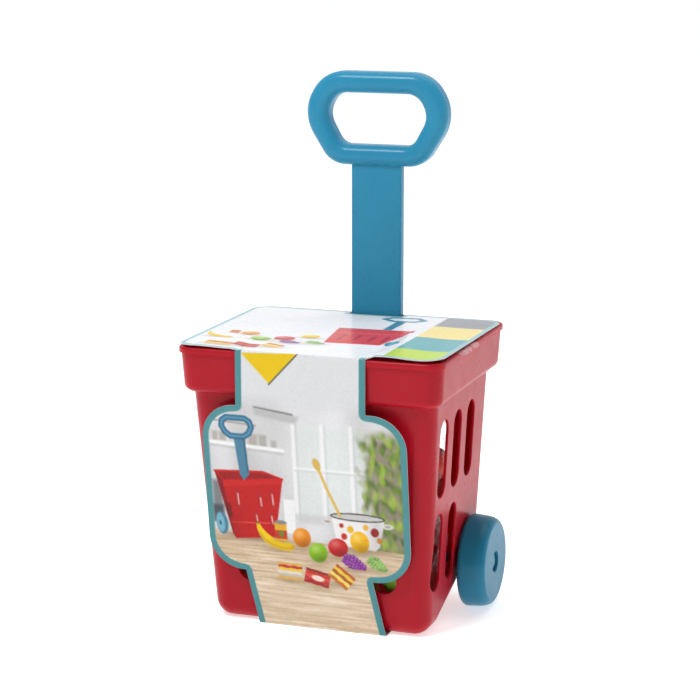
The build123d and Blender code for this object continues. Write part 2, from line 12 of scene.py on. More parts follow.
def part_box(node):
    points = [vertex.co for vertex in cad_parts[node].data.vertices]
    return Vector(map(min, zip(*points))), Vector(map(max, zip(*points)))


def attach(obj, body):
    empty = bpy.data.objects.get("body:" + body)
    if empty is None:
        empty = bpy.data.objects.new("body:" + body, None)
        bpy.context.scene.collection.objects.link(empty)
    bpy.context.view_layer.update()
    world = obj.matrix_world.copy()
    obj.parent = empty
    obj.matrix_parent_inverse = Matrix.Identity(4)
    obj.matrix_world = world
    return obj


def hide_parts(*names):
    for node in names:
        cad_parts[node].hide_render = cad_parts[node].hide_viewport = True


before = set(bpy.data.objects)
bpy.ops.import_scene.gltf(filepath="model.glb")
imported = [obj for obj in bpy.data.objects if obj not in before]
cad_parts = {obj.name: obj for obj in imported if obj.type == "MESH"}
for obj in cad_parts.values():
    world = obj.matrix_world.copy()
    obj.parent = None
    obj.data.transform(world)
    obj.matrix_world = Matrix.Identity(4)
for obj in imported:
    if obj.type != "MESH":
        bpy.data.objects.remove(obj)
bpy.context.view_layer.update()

MM = 0.001
scene = bpy.context.scene


# ---- scene, camera and light --------------------------------------------------------------
AIM = Vector((19.7, -43.4, 245.0)) * MM
CAMERA_DISTANCE = 1.9595
CAMERA_TURN = math.radians(18.97)
CAMERA_TILT = math.radians(11.75)
LENS = 116.5
WORLD_FADE = (-0.35, 0.5, 0.20, 0.80)  # from and to along Y, and the strength at each


def add_node(tree, kind, **sockets):
    """A node whose sockets are set to values, or linked where another node's output is given."""
    made = tree.nodes.new(kind)
    for name, value in sockets.items():
        socket = made.inputs[name.replace("_", " ")]
        if isinstance(value, bpy.types.NodeSocket):
            tree.links.new(value, socket)
        else:
            socket.default_value = value
    return made


def map_range(tree, value, low, high, to_low, to_high):
    return add_node(tree, "ShaderNodeMapRange", Value=value, From_Min=low, From_Max=high,
                    To_Min=to_low, To_Max=to_high)


def make_camera():
    data = bpy.data.cameras.new("camera")
    data.lens = LENS
    data.sensor_width = 36
    data.clip_start = 0.05
    camera = bpy.data.objects.new("camera", data)
    camera.rotation_euler = (math.pi / 2 - CAMERA_TILT, 0, CAMERA_TURN)
    scene.collection.objects.link(camera)
    bpy.context.view_layer.update()
    camera.location = AIM + camera.matrix_world.to_3x3() @ Vector((0, 0, CAMERA_DISTANCE))
    scene.camera = camera


def area_light(name, place, target, size, power):
    data = bpy.data.lights.new(name, "AREA")
    data.shape = "RECTANGLE"
    data.size, data.size_y = size
    data.energy = power
    light = bpy.data.objects.new(name, data)
    light.location = place
    light.rotation_euler = (Vector(target) - Vector(place)).to_track_quat("-Z", "Y").to_euler()
    scene.collection.objects.link(light)


def studio_world():
    """Bright behind the object and dim in front of it, as on a white sweep in a dark room."""
    world = bpy.data.worlds.new("studio")
    world.use_nodes = True
    tree = world.node_tree
    tree.nodes.clear()
    place = add_node(tree, "ShaderNodeTexCoord")
    split = add_node(tree, "ShaderNodeSeparateXYZ", Vector=place.outputs["Generated"])
    fade = map_range(tree, split.outputs["Y"], *WORLD_FADE)
    fade.interpolation_type = "SMOOTHSTEP"
    seen = add_node(tree, "ShaderNodeBackground", Color=(1, 1, 1, 1))
    lit = add_node(tree, "ShaderNodeBackground", Color=(0.97, 0.98, 1, 1), Strength=fade.outputs[0])
    path = add_node(tree, "ShaderNodeLightPath")
    mix = add_node(tree, "ShaderNodeMixShader", Fac=path.outputs["Is Camera Ray"])
    tree.links.new(lit.outputs[0], mix.inputs[1])
    tree.links.new(seen.outputs[0], mix.inputs[2])
    add_node(tree, "ShaderNodeOutputWorld", Surface=mix.outputs[0])
    scene.world = world


def make_studio():
    middle = (0, 0, 0.2)
    area_light("key_light", (-0.55, -1.15, 2.3), middle, (0.6, 0.6), 40)
    area_light("side_light", (2.2, 0.6, 0.35), middle, (1.0, 1.0), 5.0)
    area_light("top_light", (0.2, 0.5, 2.2), middle, (1.4, 1.0), 10)
    studio_world()
    bpy.ops.mesh.primitive_plane_add(size=60)
    floor = bpy.context.object
    floor.name = "floor"
    floor.data.materials.append(plain_floor())
    scene.view_settings.view_transform = "Standard"


# ---- materials ----------------------------------------------------------------------------
class Surface:
    """A node-based material: a Principled shader and short calls for the nodes round it."""

    def __init__(self, name, **sockets):
        self.material = bpy.data.materials.new(name)
        self.material.use_nodes = True
        self.tree = self.material.node_tree
        self.shader = self.tree.nodes["Principled BSDF"]
        for socket, value in sockets.items():
            self.shader.inputs[socket.replace("_", " ")].default_value = value
        self.place = self.node("ShaderNodeTexCoord").outputs["Object"]
        self.bumps = None

    def node(self, kind, **sockets):
        return add_node(self.tree, kind, **sockets)

    def stretch(self, x, y, z):
        return self.node("ShaderNodeMapping", Vector=self.place, Scale=(x, y, z)).outputs[0]

    def noise(self, scale, detail=3.0, rough=0.55, place=None):
        made = self.node(
            "ShaderNodeTexNoise",
            Vector=place or self.place, Scale=scale, Detail=detail, Roughness=rough,
        )
        return made.outputs["Fac"]

    def cells(self, scale):
        made = self.node("ShaderNodeTexVoronoi", Vector=self.place, Scale=scale)
        return made.outputs["Distance"]

    def remap(self, value, low, high, to_low, to_high):
        return map_range(self.tree, value, low, high, to_low, to_high).outputs[0]

    def colours(self, factor, stops):
        ramp = self.node("ShaderNodeValToRGB", Fac=factor)
        elements = ramp.color_ramp.elements
        while len(elements) < len(stops):
            elements.new(0.5)
        for element, (at, colour) in zip(elements, stops):
            element.position = at
            element.color = (*colour, 1)
        return ramp.outputs[0]

    def paint(self, colour):
        self.tree.links.new(colour, self.shader.inputs["Base Color"])

    def mottle(self, factor, low, high, at=(0.3, 0.7)):
        """Paint that drifts between two colours."""
        self.paint(self.colours(factor, list(zip(at, (low, high)))))

    def wear(self, factor, low, high, top=0.7):
        """Roughness that drifts from low to high."""
        value = self.remap(factor, 0.3, top, low, high)
        self.tree.links.new(value, self.shader.inputs["Roughness"])

    def bump(self, height, distance):
        made = self.node("ShaderNodeBump", Height=height, Strength=1.0, Distance=distance)
        if self.bumps:
            self.tree.links.new(self.bumps, made.inputs["Normal"])
        self.bumps = made.outputs[0]
        self.tree.links.new(self.bumps, self.shader.inputs["Normal"])


def grey(level):
    return (level,) * 3


def shade(colour, factor):
    return tuple(min(1.0, c * factor) for c in colour)


def plain_floor():
    floor = Surface("floor_paper", Roughness=0.75, Emission_Color=(1, 1, 1, 1),
                    Emission_Strength=0.55)
    floor.mottle(floor.noise(2.0), grey(0.90), grey(0.93))
    return floor.material


def moulded(name, colour, roughness, wave=0.0006, grain=0.00002, streak=0.0, glow=0.0):
    """Injection-moulded plastic: faint flow marks, sink waves, fine grain and hairline rubs."""
    plastic = Surface(
        name, IOR=1.46, Specular_IOR_Level=0.15, Coat_Weight=0.05, Coat_Roughness=0.16,
        Subsurface_Weight=glow, Subsurface_Radius=(0.010, 0.0012, 0.0012), Subsurface_Scale=1.0,
    )
    flow = plastic.noise(9.0, 4.0, 0.6, plastic.stretch(1, 1, 0.5))
    plastic.paint(plastic.colours(flow, [
        (0.25, shade(colour, 0.92)), (0.5, colour), (0.8, shade(colour, 1.08)),
    ]))
    rubs = plastic.noise(60.0, 6.0, 0.65)
    plastic.wear(rubs, roughness - 0.04, roughness + 0.09, 0.75)
    plastic.bump(plastic.noise(14.0, 1.0), wave)
    plastic.bump(plastic.noise(950.0, 2.0), grain)
    if streak:
        plastic.bump(plastic.noise(260.0, 2.0, 0.5, plastic.stretch(1, 1, 0.02)), streak)
    return plastic.material


def bare_metal(name, scale, greys, wear_scale, roughness, grain):
    metal = Surface(name, Metallic=1.0)
    metal.mottle(metal.noise(scale), *map(grey, greys))
    metal.wear(metal.noise(wear_scale), *roughness)
    metal.bump(metal.noise(grain), 0.00002)
    return metal.material


RED = (0.40, 0.005, 0.016)
BLUE = (0.028, 0.245, 0.405)
WHEEL_BLUE = (0.020, 0.19, 0.31)


def dress_cad():
    red = moulded("basket_plastic", RED, 0.30, glow=0.45)
    blue = moulded("handle_plastic", BLUE, 0.25, streak=0.00012)
    wheel = moulded("wheel_plastic", WHEEL_BLUE, 0.30, wave=0.0004)
    # the pins are the handle's blue darkened: painted shade of the deep hub recesses they sit in
    pin = moulded("pin_plastic_painted_shade", shade(BLUE, 0.85), 0.28)
    steel = bare_metal("screw_steel_brushed", 900.0, (0.45, 0.68), 1800.0, (0.25, 0.42), 2500.0)
    wanted = {
        "basket": red, "handle_guide_cover": red, "handle": blue,
        "left_wheel": wheel, "right_wheel": wheel,
        "left_axle_pin": pin, "right_axle_pin": pin, "guide_screws": steel,
    }
    for name, material in wanted.items():
        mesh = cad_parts[name].data
        mesh.materials.clear()
        mesh.materials.append(material)


# ---- building pieces ----------------------------------------------------------------------
def make_piece(name, points, faces, materials, node, face_slots=None, sharp=40,
               body="basket"):
    """A mesh piece in millimetres that rides on a body and stands for a CAD node."""
    mesh = bpy.data.meshes.new(name)
    mesh.from_pydata([(x * MM, y * MM, z * MM) for x, y, z in points], [], faces)
    for material in materials:
        mesh.materials.append(material)
    if face_slots:
        mesh.polygons.foreach_set("material_index", face_slots)
    tidy = bmesh.new()
    tidy.from_mesh(mesh)
    bmesh.ops.recalc_face_normals(tidy, faces=tidy.faces)
    tidy.to_mesh(mesh)
    tidy.free()
    mesh.shade_smooth()
    mesh.set_sharp_from_angle(angle=math.radians(sharp))
    piece = bpy.data.objects.new(name, mesh)
    scene.collection.objects.link(piece)
    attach(piece, body)
    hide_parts(node)
    return piece


def grid_faces(rows, wide, closed=False):
    """Faces between rows of wide points each, joined end to end where closed."""
    return [
        (a + i, a + (i + 1) % wide, a + wide + (i + 1) % wide, a + wide + i)
        for a in range(0, (rows - 1) * wide, wide) for i in range(wide if closed else wide - 1)
    ]


def tube_faces(rows, wide):
    """The wall over rings of points and its two ends."""
    total = rows * wide
    ends = [tuple(range(wide)), tuple(range(total - wide, total))[::-1]]
    return grid_faces(rows, wide, True) + ends


def spread(start, end, pitch):
    """Evenly spaced values from start to end, about pitch apart."""
    return np.linspace(start, end, max(2, round(abs(end - start) / pitch) + 1))


# ---- printing -----------------------------------------------------------------------------
def ink(red, green, blue):
    return np.array((red, green, blue)) / 255


class Print:
    """A printed face: an ink colour at each point (u, v), laid down shape by shape in mm."""

    def __init__(self, u, v, colour):
        self.u, self.v = u, v
        self.colour = np.tile(colour, (len(u), 1))

    def lay(self, mask, colour, strength=1.0):
        self.colour += (strength * mask)[:, None] * (colour - self.colour)

    def edge_distance(self, points, closed=True):
        """Distance to a run of straight lines, and which points lie inside it when closed."""
        ends = points[1:] + points[:1] if closed else points[1:]
        distance = np.full(len(self.u), 1e9)
        inside = np.zeros(len(self.u), bool)
        for (au, av), (bu, bv) in zip(points, ends):
            du, dv = bu - au, bv - av
            along = ((self.u - au) * du + (self.v - av) * dv) / (du * du + dv * dv + 1e-9)
            along = np.clip(along, 0, 1)
            gap = np.hypot(self.u - au - along * du, self.v - av - along * dv)
            distance = np.minimum(distance, gap)
            if closed and av != bv:
                level = (av > self.v) != (bv > self.v)
                inside ^= level & (self.u < du * (self.v - av) / dv + au)
        return distance, inside

    def outline(self, points, soft=0.7):
        distance, inside = self.edge_distance(points)
        return np.clip(np.where(inside, distance, -distance) / soft + 0.5, 0, 1)

    def stroke(self, points, width, soft=0.7, closed=False):
        distance, _ = self.edge_distance(points, closed)
        return np.clip((width / 2 - distance) / soft + 0.5, 0, 1)

    def turned(self, centre, turn):
        """Coordinates about a centre, turned by that many degrees."""
        c, s = math.cos(math.radians(turn)), math.sin(math.radians(turn))
        du, dv = self.u - centre[0], self.v - centre[1]
        return du * c + dv * s, dv * c - du * s

    def oval(self, centre, width, height, turn=0, soft=0.7):
        a, b = self.turned(centre, turn)
        far = np.hypot(2 * a / width, 2 * b / height)
        return np.clip((1 - far) * min(width, height) / 2 / soft + 0.5, 0, 1)

    def block(self, centre, width, height, turn=0, soft=0.7):
        a, b = self.turned(centre, turn)
        far = np.minimum(width / 2 - abs(a), height / 2 - abs(b))
        return np.clip(far / soft + 0.5, 0, 1)

    def blur(self, centre, width, height):
        a, b = self.turned(centre, 0)
        return np.exp(-((2 * a / width) ** 2 + (2 * b / height) ** 2))

    def murk(self, wide, high, seed, waves=14):
        """Smooth random mottling from 0 to 1, of about that width and height."""
        draw = random.Random(seed)
        total = np.zeros(len(self.u))
        for _ in range(waves):
            angle, phase = draw.uniform(0, math.tau), draw.uniform(0, math.tau)
            pace = draw.uniform(0.6, 1.8) * math.tau
            total += np.sin(
                self.u * math.cos(angle) * pace / wide
                + self.v * math.sin(angle) * pace / high + phase
            )
        return np.clip(0.5 + total / math.sqrt(waves) * 0.4, 0, 1)

    def shadow(self, centre, drop, width, height, strength=0.5):
        """The soft shadow under a printed food."""
        self.lay(self.blur((centre[0] + 1, centre[1] - drop), width, height),
                 ink(150, 125, 95), strength)

    def ball(self, centre, width, height, colour, turn=0):
        """A printed round food: soft shadow, body shade, rim shade and a highlight."""
        cu, cv = centre
        self.shadow(centre, height * 0.45, width * 1.3, height * 0.5)
        body = self.oval(centre, width, height, turn)
        self.lay(body, colour)
        low = self.blur((cu + width * 0.2, cv - height * 0.45), width * 1.2, height * 0.8)
        self.lay(body * low, colour * 0.68, 0.8)
        glint = self.blur((cu - width * 0.15, cv + height * 0.2), width * 0.6, height * 0.5)
        self.lay(body * glint, 1 - (1 - colour) * 0.55, 0.8)

    def linear(self):
        """The inks as linear light with alpha, for a colour attribute."""
        inks = np.clip(self.colour, 0, 1)
        light = np.where(inks <= 0.04045, inks / 12.92, ((inks + 0.055) / 1.055) ** 2.4)
        return np.column_stack((light, np.ones(len(light)))).astype(np.float32)


TEAL = ink(78, 146, 152)
WOOD = ink(222, 198, 168)
FRONT_PAINTED_SHADE = 0.87  # painted shade: the front print shows only this share of its inks' light, so it stands darker than the top panel's print
BORDER = 5.6


def print_kitchen(page):
    """A pale kitchen, out of focus: hood, shelves, jars, a window and leaves."""
    lay, block, outline, stroke, blur = page.lay, page.block, page.outline, page.stroke, page.blur
    lay(page.murk(60, 80, 11), ink(192, 190, 190), 0.7)
    lay(blur((18, 150), 70, 120), ink(247, 248, 250), 0.8)
    for u in (-12, 14, 40):
        lay(block((u + 13, 146), 21, 86, soft=3), ink(222, 232, 226), 0.55)
        lay(block((u, 146), 3.4, 92, soft=1.6), ink(250, 250, 250), 0.8)
        lay(block((u + 2.8, 146), 1.6, 90, soft=1.6), ink(196, 199, 201), 0.5)
    lay(block((27, 150), 80, 2.6, soft=1.4), ink(249, 249, 249), 0.8)
    lay(block((27, 148), 80, 1.4, soft=1.6), ink(198, 201, 202), 0.5)
    lay(block((20, 104), 92, 8, soft=4), ink(205, 206, 206), 0.7)
    # hood over the cooker, with its shadow
    lay(outline([(-48, 202), (-46, 196), (-10, 190), (-6, 197)], 3), ink(186, 187, 186), 0.8)
    lay(stroke([(-46, 203), (-12, 198.5)], 1.8, 1.2), ink(120, 122, 120), 0.9)
    lay(stroke([(-84, 188.5), (-46, 186)], 1.5, 1.2), ink(140, 128, 116), 0.75)
    # shelf with jars
    lay(blur((-60, 178), 60, 16), ink(206, 204, 202), 0.6)
    jars = ((-84, 174, 5, 9), (-77, 174, 6, 8), (-49, 172, 8, 12), (-40, 172, 7, 12), (-30, 170, 5, 7))
    for i, (u, v, wide, high) in enumerate(jars):
        lay(block((u, v), wide, high, soft=2.4), ink(172 - 9 * (i % 2), 160, 150), 0.7)
    lay(stroke([(-89, 168.5), (-22, 165)], 3.4, 1.4), ink(250, 250, 250), 0.9)
    lay(stroke([(-89, 165.4), (-22, 162)], 1.8, 1.8), ink(188, 190, 191), 0.7)
    lay(stroke([(-33, 146), (-31, 128)], 2.2, 1.4), ink(196, 198, 196), 0.6)
    # dark worktop things at the left and a white jar at the right of the trolley
    lay(block((-85, 118), 9, 30, soft=4), ink(112, 116, 118), 0.85)
    lay(block((-85, 102), 10, 16, soft=3), ink(70, 76, 82), 0.85)
    lay(block((-19, 106), 10, 34, soft=1.2), ink(246, 247, 246), 0.95)
    lay(block((-19, 122), 9, 3, soft=1), ink(205, 207, 205), 0.8)
    # leaves beyond the window at the right
    bush = np.clip((page.u - 50 + 10 * page.murk(16, 16, 5)) / 14, 0, 1)
    bush = bush * np.clip((192 - page.v) / 14, 0, 1)
    lay(bush, ink(140, 130, 106), 0.9)
    for seed, tint in ((21, ink(64, 92, 34)), (3, ink(104, 146, 44)), (8, ink(168, 204, 62))):
        leaf = np.clip((page.murk(13, 17, seed) - 0.45) * 1.8, 0, 1)
        lay(bush * leaf, tint, 0.7)


def print_table(page):
    """A light wooden table top with its planks and grain."""
    grain = page.murk(55, 2.6, 31, 24)
    streak = page.murk(120, 6.5, 47, 20)
    knots = page.murk(9, 5, 77)
    wood = WOOD + (grain - 0.5)[:, None] * ink(34, 40, 46) + (streak - 0.5)[:, None] * ink(26, 30, 36)
    wood = wood - (np.clip(knots - 0.86, 0, 1) * 1.2)[:, None] * ink(60, 80, 90)
    top = page.outline([(-95, 88), (-34, 84.5), (95, 79), (95, -5), (-95, -5)], 1.2)
    page.colour += top[:, None] * (wood - page.colour)
    for v in (70, 57, 45, 34, 24, 15, 7):
        seam = page.stroke([(-95, v + 3), (0, v), (95, v - 4)], 0.7, 1.0)
        page.lay(top * seam, ink(188, 162, 130), 0.55)
    page.lay(top * page.blur((0, 84), 190, 10), ink(202, 182, 156), 0.45)
    page.lay(top * page.blur((0, 25), 150, 50), ink(244, 230, 208), 0.35)


def print_trolley(page):
    """The toy itself, unpacked: loop handle, stem, basket and wheel."""
    lay, oval, outline, stroke, blur = page.lay, page.oval, page.outline, page.stroke, page.blur
    lay(blur((-58, 82), 56, 9), ink(120, 95, 70), 0.6)
    lay(oval((-82.5, 93), 11, 21, 6), ink(72, 128, 152))
    lay(oval((-84, 93.4), 7.5, 18, 6), ink(120, 180, 200))
    lay(oval((-84.3, 93), 2.2, 4.5, 6), ink(62, 110, 135))
    rim = [(-86.5, 141.5), (-42, 144), (-24, 138.5), (-79, 132.5)]
    lay(outline(rim), ink(160, 16, 18))
    lay(stroke(rim, 2.0, closed=True), ink(206, 30, 28))
    side = [(-86.5, 141), (-78.5, 132), (-70.5, 80), (-73, 84)]
    lay(outline(side), ink(140, 12, 20))
    front = [(-79.5, 132.5), (-24, 138), (-33, 84), (-70.5, 79.5)]
    lay(outline(front), ink(196, 16, 16))
    lay(outline([(-79.5, 132), (-24, 138), (-24.6, 134), (-79, 127.5)]), ink(210, 30, 26))
    lay(stroke([(-73.5, 94.5), (-32.5, 97)], 0.9), ink(240, 110, 100), 0.8)
    lay(outline(front) * blur((-72, 92), 18, 40), ink(160, 12, 18), 0.5)
    for u, v, high in ((-67, 117, 15), (-46, 116, 11), (-35, 119, 14), (-50.5, 100, 9), (-36.5, 100, 10)):
        lay(stroke([(u, v + high / 2), (u + 1, v - high / 2)], 3.0, 1.0), ink(176, 34, 38))
        lay(stroke([(u + 0.8, v + high / 3), (u + 1.4, v - high / 3)], 1.1, 0.9),
                 ink(252, 226, 220), 0.85)
    for u in (-77, -74.5):
        lay(stroke([(u, 112), (u + 1.5, 100)], 1.2, 0.9), ink(60, 12, 20), 0.9)
    stem = [(-67, 176), (-56.5, 176), (-55, 150), (-54, 141), (-59.5, 134.5), (-63, 140)]
    lay(outline(stem), ink(78, 130, 158))
    lay(stroke([(-57.2, 175), (-55.4, 143)], 1.8), ink(58, 104, 132), 0.9)
    loop = [(-72.5, 191.8), (-56, 191.8), (-51.5, 189), (-50, 184), (-52.5, 178.5), (-57.5, 175),
            (-69.5, 175), (-74.5, 178.5), (-77.5, 184), (-76.5, 189)]
    lay(stroke(loop, 5.6, closed=True), ink(48, 108, 142))
    lay(stroke(loop, 2.0, 1.4, closed=True), ink(104, 160, 188), 0.8)


def print_banana(page, tip, size):
    """A banana from its stalk at tip, down and to the right, size times as long as 30 mm."""
    u, v = tip
    shape = [(0, 0), (-1.8, -0.5), (-1.6, -6), (0.5, -12), (5, -17.5), (12, -21.5), (20, -23.5),
             (28, -23.5), (31, -21), (31, -17.8), (27, -16.4), (20, -16), (13, -13.6), (7.5, -9.5), (3.2, -5)]
    outline = [(u + a * size, v + b * size) for a, b in shape]
    page.lay(page.blur((u + 16 * size, v - 23 * size), 30 * size, 8 * size), ink(150, 122, 84), 0.5)
    page.lay(page.outline(outline, 0.9), ink(246, 206, 8))
    under = [(a, b + 1.8 * size) for a, b in outline[3:9]]
    page.lay(page.outline(outline) * page.stroke(under, 2.6 * size, 2.0), ink(206, 158, 0), 0.7)
    page.lay(page.oval((u - 0.6 * size, v - 0.6 * size), 2.2 * size, 2.4 * size), ink(110, 96, 20), 0.8)


def print_bunch(page, centre, size, turn, colour):
    """A bunch of grapes lying on its side, berry by berry."""
    draw = random.Random(int(centre[0] * 7))
    c, s = math.cos(math.radians(turn)), math.sin(math.radians(turn))
    page.shadow(centre, size * 0.25, size * 1.1, size * 0.5, 0.45)
    for row in range(7):
        half = 3.4 - abs(row - 2.2) * 0.72
        for place in (-1, -0.33, 0.33, 1):
            a = (row - 3) / 6 * size * 0.8 + draw.uniform(-0.3, 0.3)
            b = place * half * size * 0.066
            spot = (centre[0] + a * c - b * s, centre[1] + a * s + b * c)
            page.lay(page.oval(spot, size * 0.17, size * 0.17), colour * draw.uniform(0.72, 1.0))
            glint = (spot[0] - 0.4, spot[1] + 0.5)
            page.lay(page.oval(glint, size * 0.07, size * 0.07, soft=1.0), 1 - (1 - colour) * 0.5, 0.7)


def print_snack(page, centre, size, turn, bands):
    """A box or slice seen at a slant, as bands of colour from its upper edge down."""
    width, height = size
    a, b = page.turned(centre, turn)
    cover = page.block(centre, width, height, turn)
    page.shadow(centre, height * 0.5, width * 1.2, height * 0.5)
    for i, colour in enumerate(bands):
        low = height / 2 - (i + 1) * height / len(bands)
        wave = 0.35 * np.sin(a * 0.7 + 2 * i)
        here = np.clip((b + wave - low) / 0.7 + 0.5, 0, 1)
        here = here * np.clip((low + height / len(bands) - b - wave) / 0.7 + 1.0, 0, 1)
        page.lay(cover * here, colour)


def print_pot(page):
    """A white enamel pot with a dark rim, painted fruit and a wooden spoon."""
    lay, oval, outline, stroke, blur = page.lay, page.oval, page.outline, page.stroke, page.blur
    body = [(19, 110), (67, 108), (62, 84), (58, 80), (28, 82), (23, 86)]
    lay(blur((44, 80), 56, 12), ink(150, 130, 105), 0.5)
    for u in (15.5, 70):
        lay(oval((u, 103.5), 10, 5, soft=1), ink(226, 224, 222))
        lay(oval((u, 103.5), 5.5, 2.2, soft=1), ink(170, 160, 150))
    lay(outline(body, 1.0), ink(244, 242, 240))
    lay(outline(body, 1.0) * blur((60, 95), 16, 40), ink(196, 192, 192), 0.7)
    lay(oval((43, 109.5), 49, 6.5), ink(206, 204, 200))
    rim = [(43 + 24.3 * math.cos(t), 109.5 + 3.2 * math.sin(t))
           for t in np.linspace(0, math.tau, 25)[:-1]]
    lay(stroke(rim, 1.1, closed=True), ink(58, 56, 60))
    lay(stroke([(27, 110), (16, 134), (10, 150)], 2.6), ink(228, 190, 98))
    lay(oval((8, 155), 6.5, 12, 20), ink(222, 182, 92))
    for u, v, size, tint in (
        (28, 101, 4, ink(190, 40, 34)), (30, 91, 5.5, ink(204, 44, 30)), (36, 98, 6, ink(238, 186, 40)),
        (58, 97, 7.5, ink(150, 36, 30)), (50, 101, 5, ink(236, 180, 60)), (62, 90, 5, ink(196, 130, 60)),
    ):
        lay(oval((u, v), size, size * 1.1), tint)


def print_play_food(page):
    print_banana(page, (-48.5, 97), 1.04)
    page.lay(page.blur((-28, 82), 14, 6), ink(140, 110, 80), 0.5)
    page.lay(page.block((-28, 90), 11, 17, 2), ink(236, 176, 40))
    page.lay(page.block((-28, 87), 11, 8, 2), ink(198, 62, 34))
    page.lay(page.oval((-27.6, 88), 5, 6), ink(120, 130, 44))
    page.lay(page.oval((-27.8, 98.5), 11, 4), ink(140, 140, 138))
    page.ball((-9, 86), 16.5, 18, ink(240, 136, 10))
    print_pot(page)
    page.ball((5.5, 73.5), 17, 18, ink(132, 190, 10))
    page.ball((24, 80), 18, 17, ink(206, 24, 20))
    page.ball((44, 87), 17, 20, ink(250, 186, 8), 10)
    print_bunch(page, (38.5, 67), 23, -22, ink(150, 52, 168))
    print_bunch(page, (59.5, 67.5), 20, -32, ink(150, 204, 96))
    crust, cheese = ink(226, 178, 92), ink(246, 206, 72)
    print_snack(page, (-21.5, 53), (22, 16), -2,
                (crust, ink(196, 60, 40), cheese, ink(232, 222, 206), ink(206, 196, 182), crust))
    print_snack(page, (3.5, 49.5), (23, 14), -12,
                (ink(150, 44, 38), ink(204, 56, 46), ink(226, 80, 66), ink(200, 50, 44), ink(176, 40, 40)))
    page.lay(page.oval((4, 49), 12, 5, -12), ink(250, 226, 214))
    print_snack(page, (26, 52.5), (21, 15), -38,
                (ink(196, 90, 34), cheese, ink(176, 96, 40), ink(252, 222, 110), ink(200, 120, 50)))


def print_front(points, edges):
    """The front of the sleeve: kitchen, table, toy and play food inside a teal border."""
    page = Print(points[:, 0], points[:, 2], ink(226, 226, 228))
    print_kitchen(page)
    page.lay(np.clip((page.v - 200) / 16, 0, 1), ink(226, 227, 229))
    print_table(page)
    print_trolley(page)
    print_play_food(page)
    badge = [(-57.5, 249.5), (-7.5, 251.5), (-32.5, 224.5)]
    page.lay(page.outline(badge), ink(238, 200, 0))
    page.lay(page.stroke([(-7, 251), (-32.5, 223.5)], 1.1), ink(40, 40, 38))
    for edge in edges:
        distance, _ = page.edge_distance(edge[::3], closed=False)
        page.lay(np.clip((BORDER - distance) / 0.7 + 0.5, 0, 1), TEAL)
    under = points[:, 1] > CARD_FOOT + 0.3
    page.lay(under * (points[:, 2] < 2), ink(226, 224, 218))
    # the whole front print darkened: painted shade
    return FRONT_PAINTED_SHADE * page.linear()


def print_top(points, edge):
    """The top panel: the same toy and food on white, with patches of colour at the right, all in paler inks
    than the front: painted reflection of the washed-out sheen on the top.
    """
    page = Print(points[:, 0], points[:, 1], ink(240, 240, 243))
    lay, block, oval, outline, stroke = page.lay, page.block, page.oval, page.outline, page.stroke
    lay(page.murk(70, 60, 2), ink(232, 234, 238), 0.6)
    loop = [(20, 78), (44, 80), (52, 72), (44, 64), (25, 62), (14, 70)]
    lay(stroke(loop, 5.5, closed=True), ink(74, 140, 166))
    lay(outline([(29, 64), (38, 64), (36, 22), (28, 22)]), ink(74, 134, 160))
    lay(outline([(-11, 18), (58, 23), (60, 12), (-10, 6)]), ink(196, 60, 62))
    lay(outline([(-11, 14), (58, 19), (47, -45), (-3, -48)]), ink(214, 62, 62))
    lay(stroke([(-8, -2), (54, 4)], 1.2), ink(240, 140, 130), 0.8)
    for u in (4, 18, 32, 44):
        lay(stroke([(u, -10), (u + 0.4, -32)], 3.4, 1.0), ink(170, 36, 40), 0.9)
    lay(oval((56, -38), 13, 20, 8), ink(74, 140, 166))
    lay(oval((57, -38), 8, 14, 8), ink(120, 180, 198))
    print_banana(page, (-111, -40), 0.85)
    page.ball((-76, -34), 17, 15, ink(240, 160, 60))
    page.ball((-60, -50), 18, 15, ink(150, 200, 70))
    page.ball((-41, -42), 19, 16, ink(214, 66, 66))
    page.ball((-22, -28), 17, 15, ink(244, 208, 60))
    lay(block((-91, -33), 9, 13, 8), ink(206, 120, 60))
    print_bunch(page, (-31, -56), 20, -12, ink(160, 90, 176))
    print_bunch(page, (-9, -52), 19, -20, ink(150, 204, 110))
    crust = ink(224, 180, 110)
    print_snack(page, (-86, -84), (24, 14), 0, (crust, ink(204, 80, 56), ink(240, 214, 120), crust))
    print_snack(page, (-62, -80), (23, 13), -6, (ink(190, 70, 56), ink(214, 90, 76), ink(180, 60, 52)))
    print_snack(page, (-40, -75), (20, 13), -24, (ink(206, 130, 70), ink(244, 206, 110), crust))
    patches = (
        (48, 95, ink(150, 152, 158)), (-6, 48, ink(242, 222, 140)),
        (-62, -6, ink(98, 170, 176)), (-110, -62, ink(186, 214, 66)),
    )
    for low, high, colour in patches:
        lay(block((96, (low + high) / 2), 56, high - low), colour)
    distance, _ = page.edge_distance(edge[::3])
    border = np.clip((BORDER - 1.6 - distance) / 0.7 + 0.5, 0, 1)
    strap = (points[:, 0] > STRAP_LEFT + BORDER) & (points[:, 0] < STRAP_RIGHT - BORDER)
    # the border in a pale teal, much lighter than the front's TEAL: painted reflection
    lay(border * ~(strap & (points[:, 1] < 0)), ink(150, 196, 200))
    return page.linear()


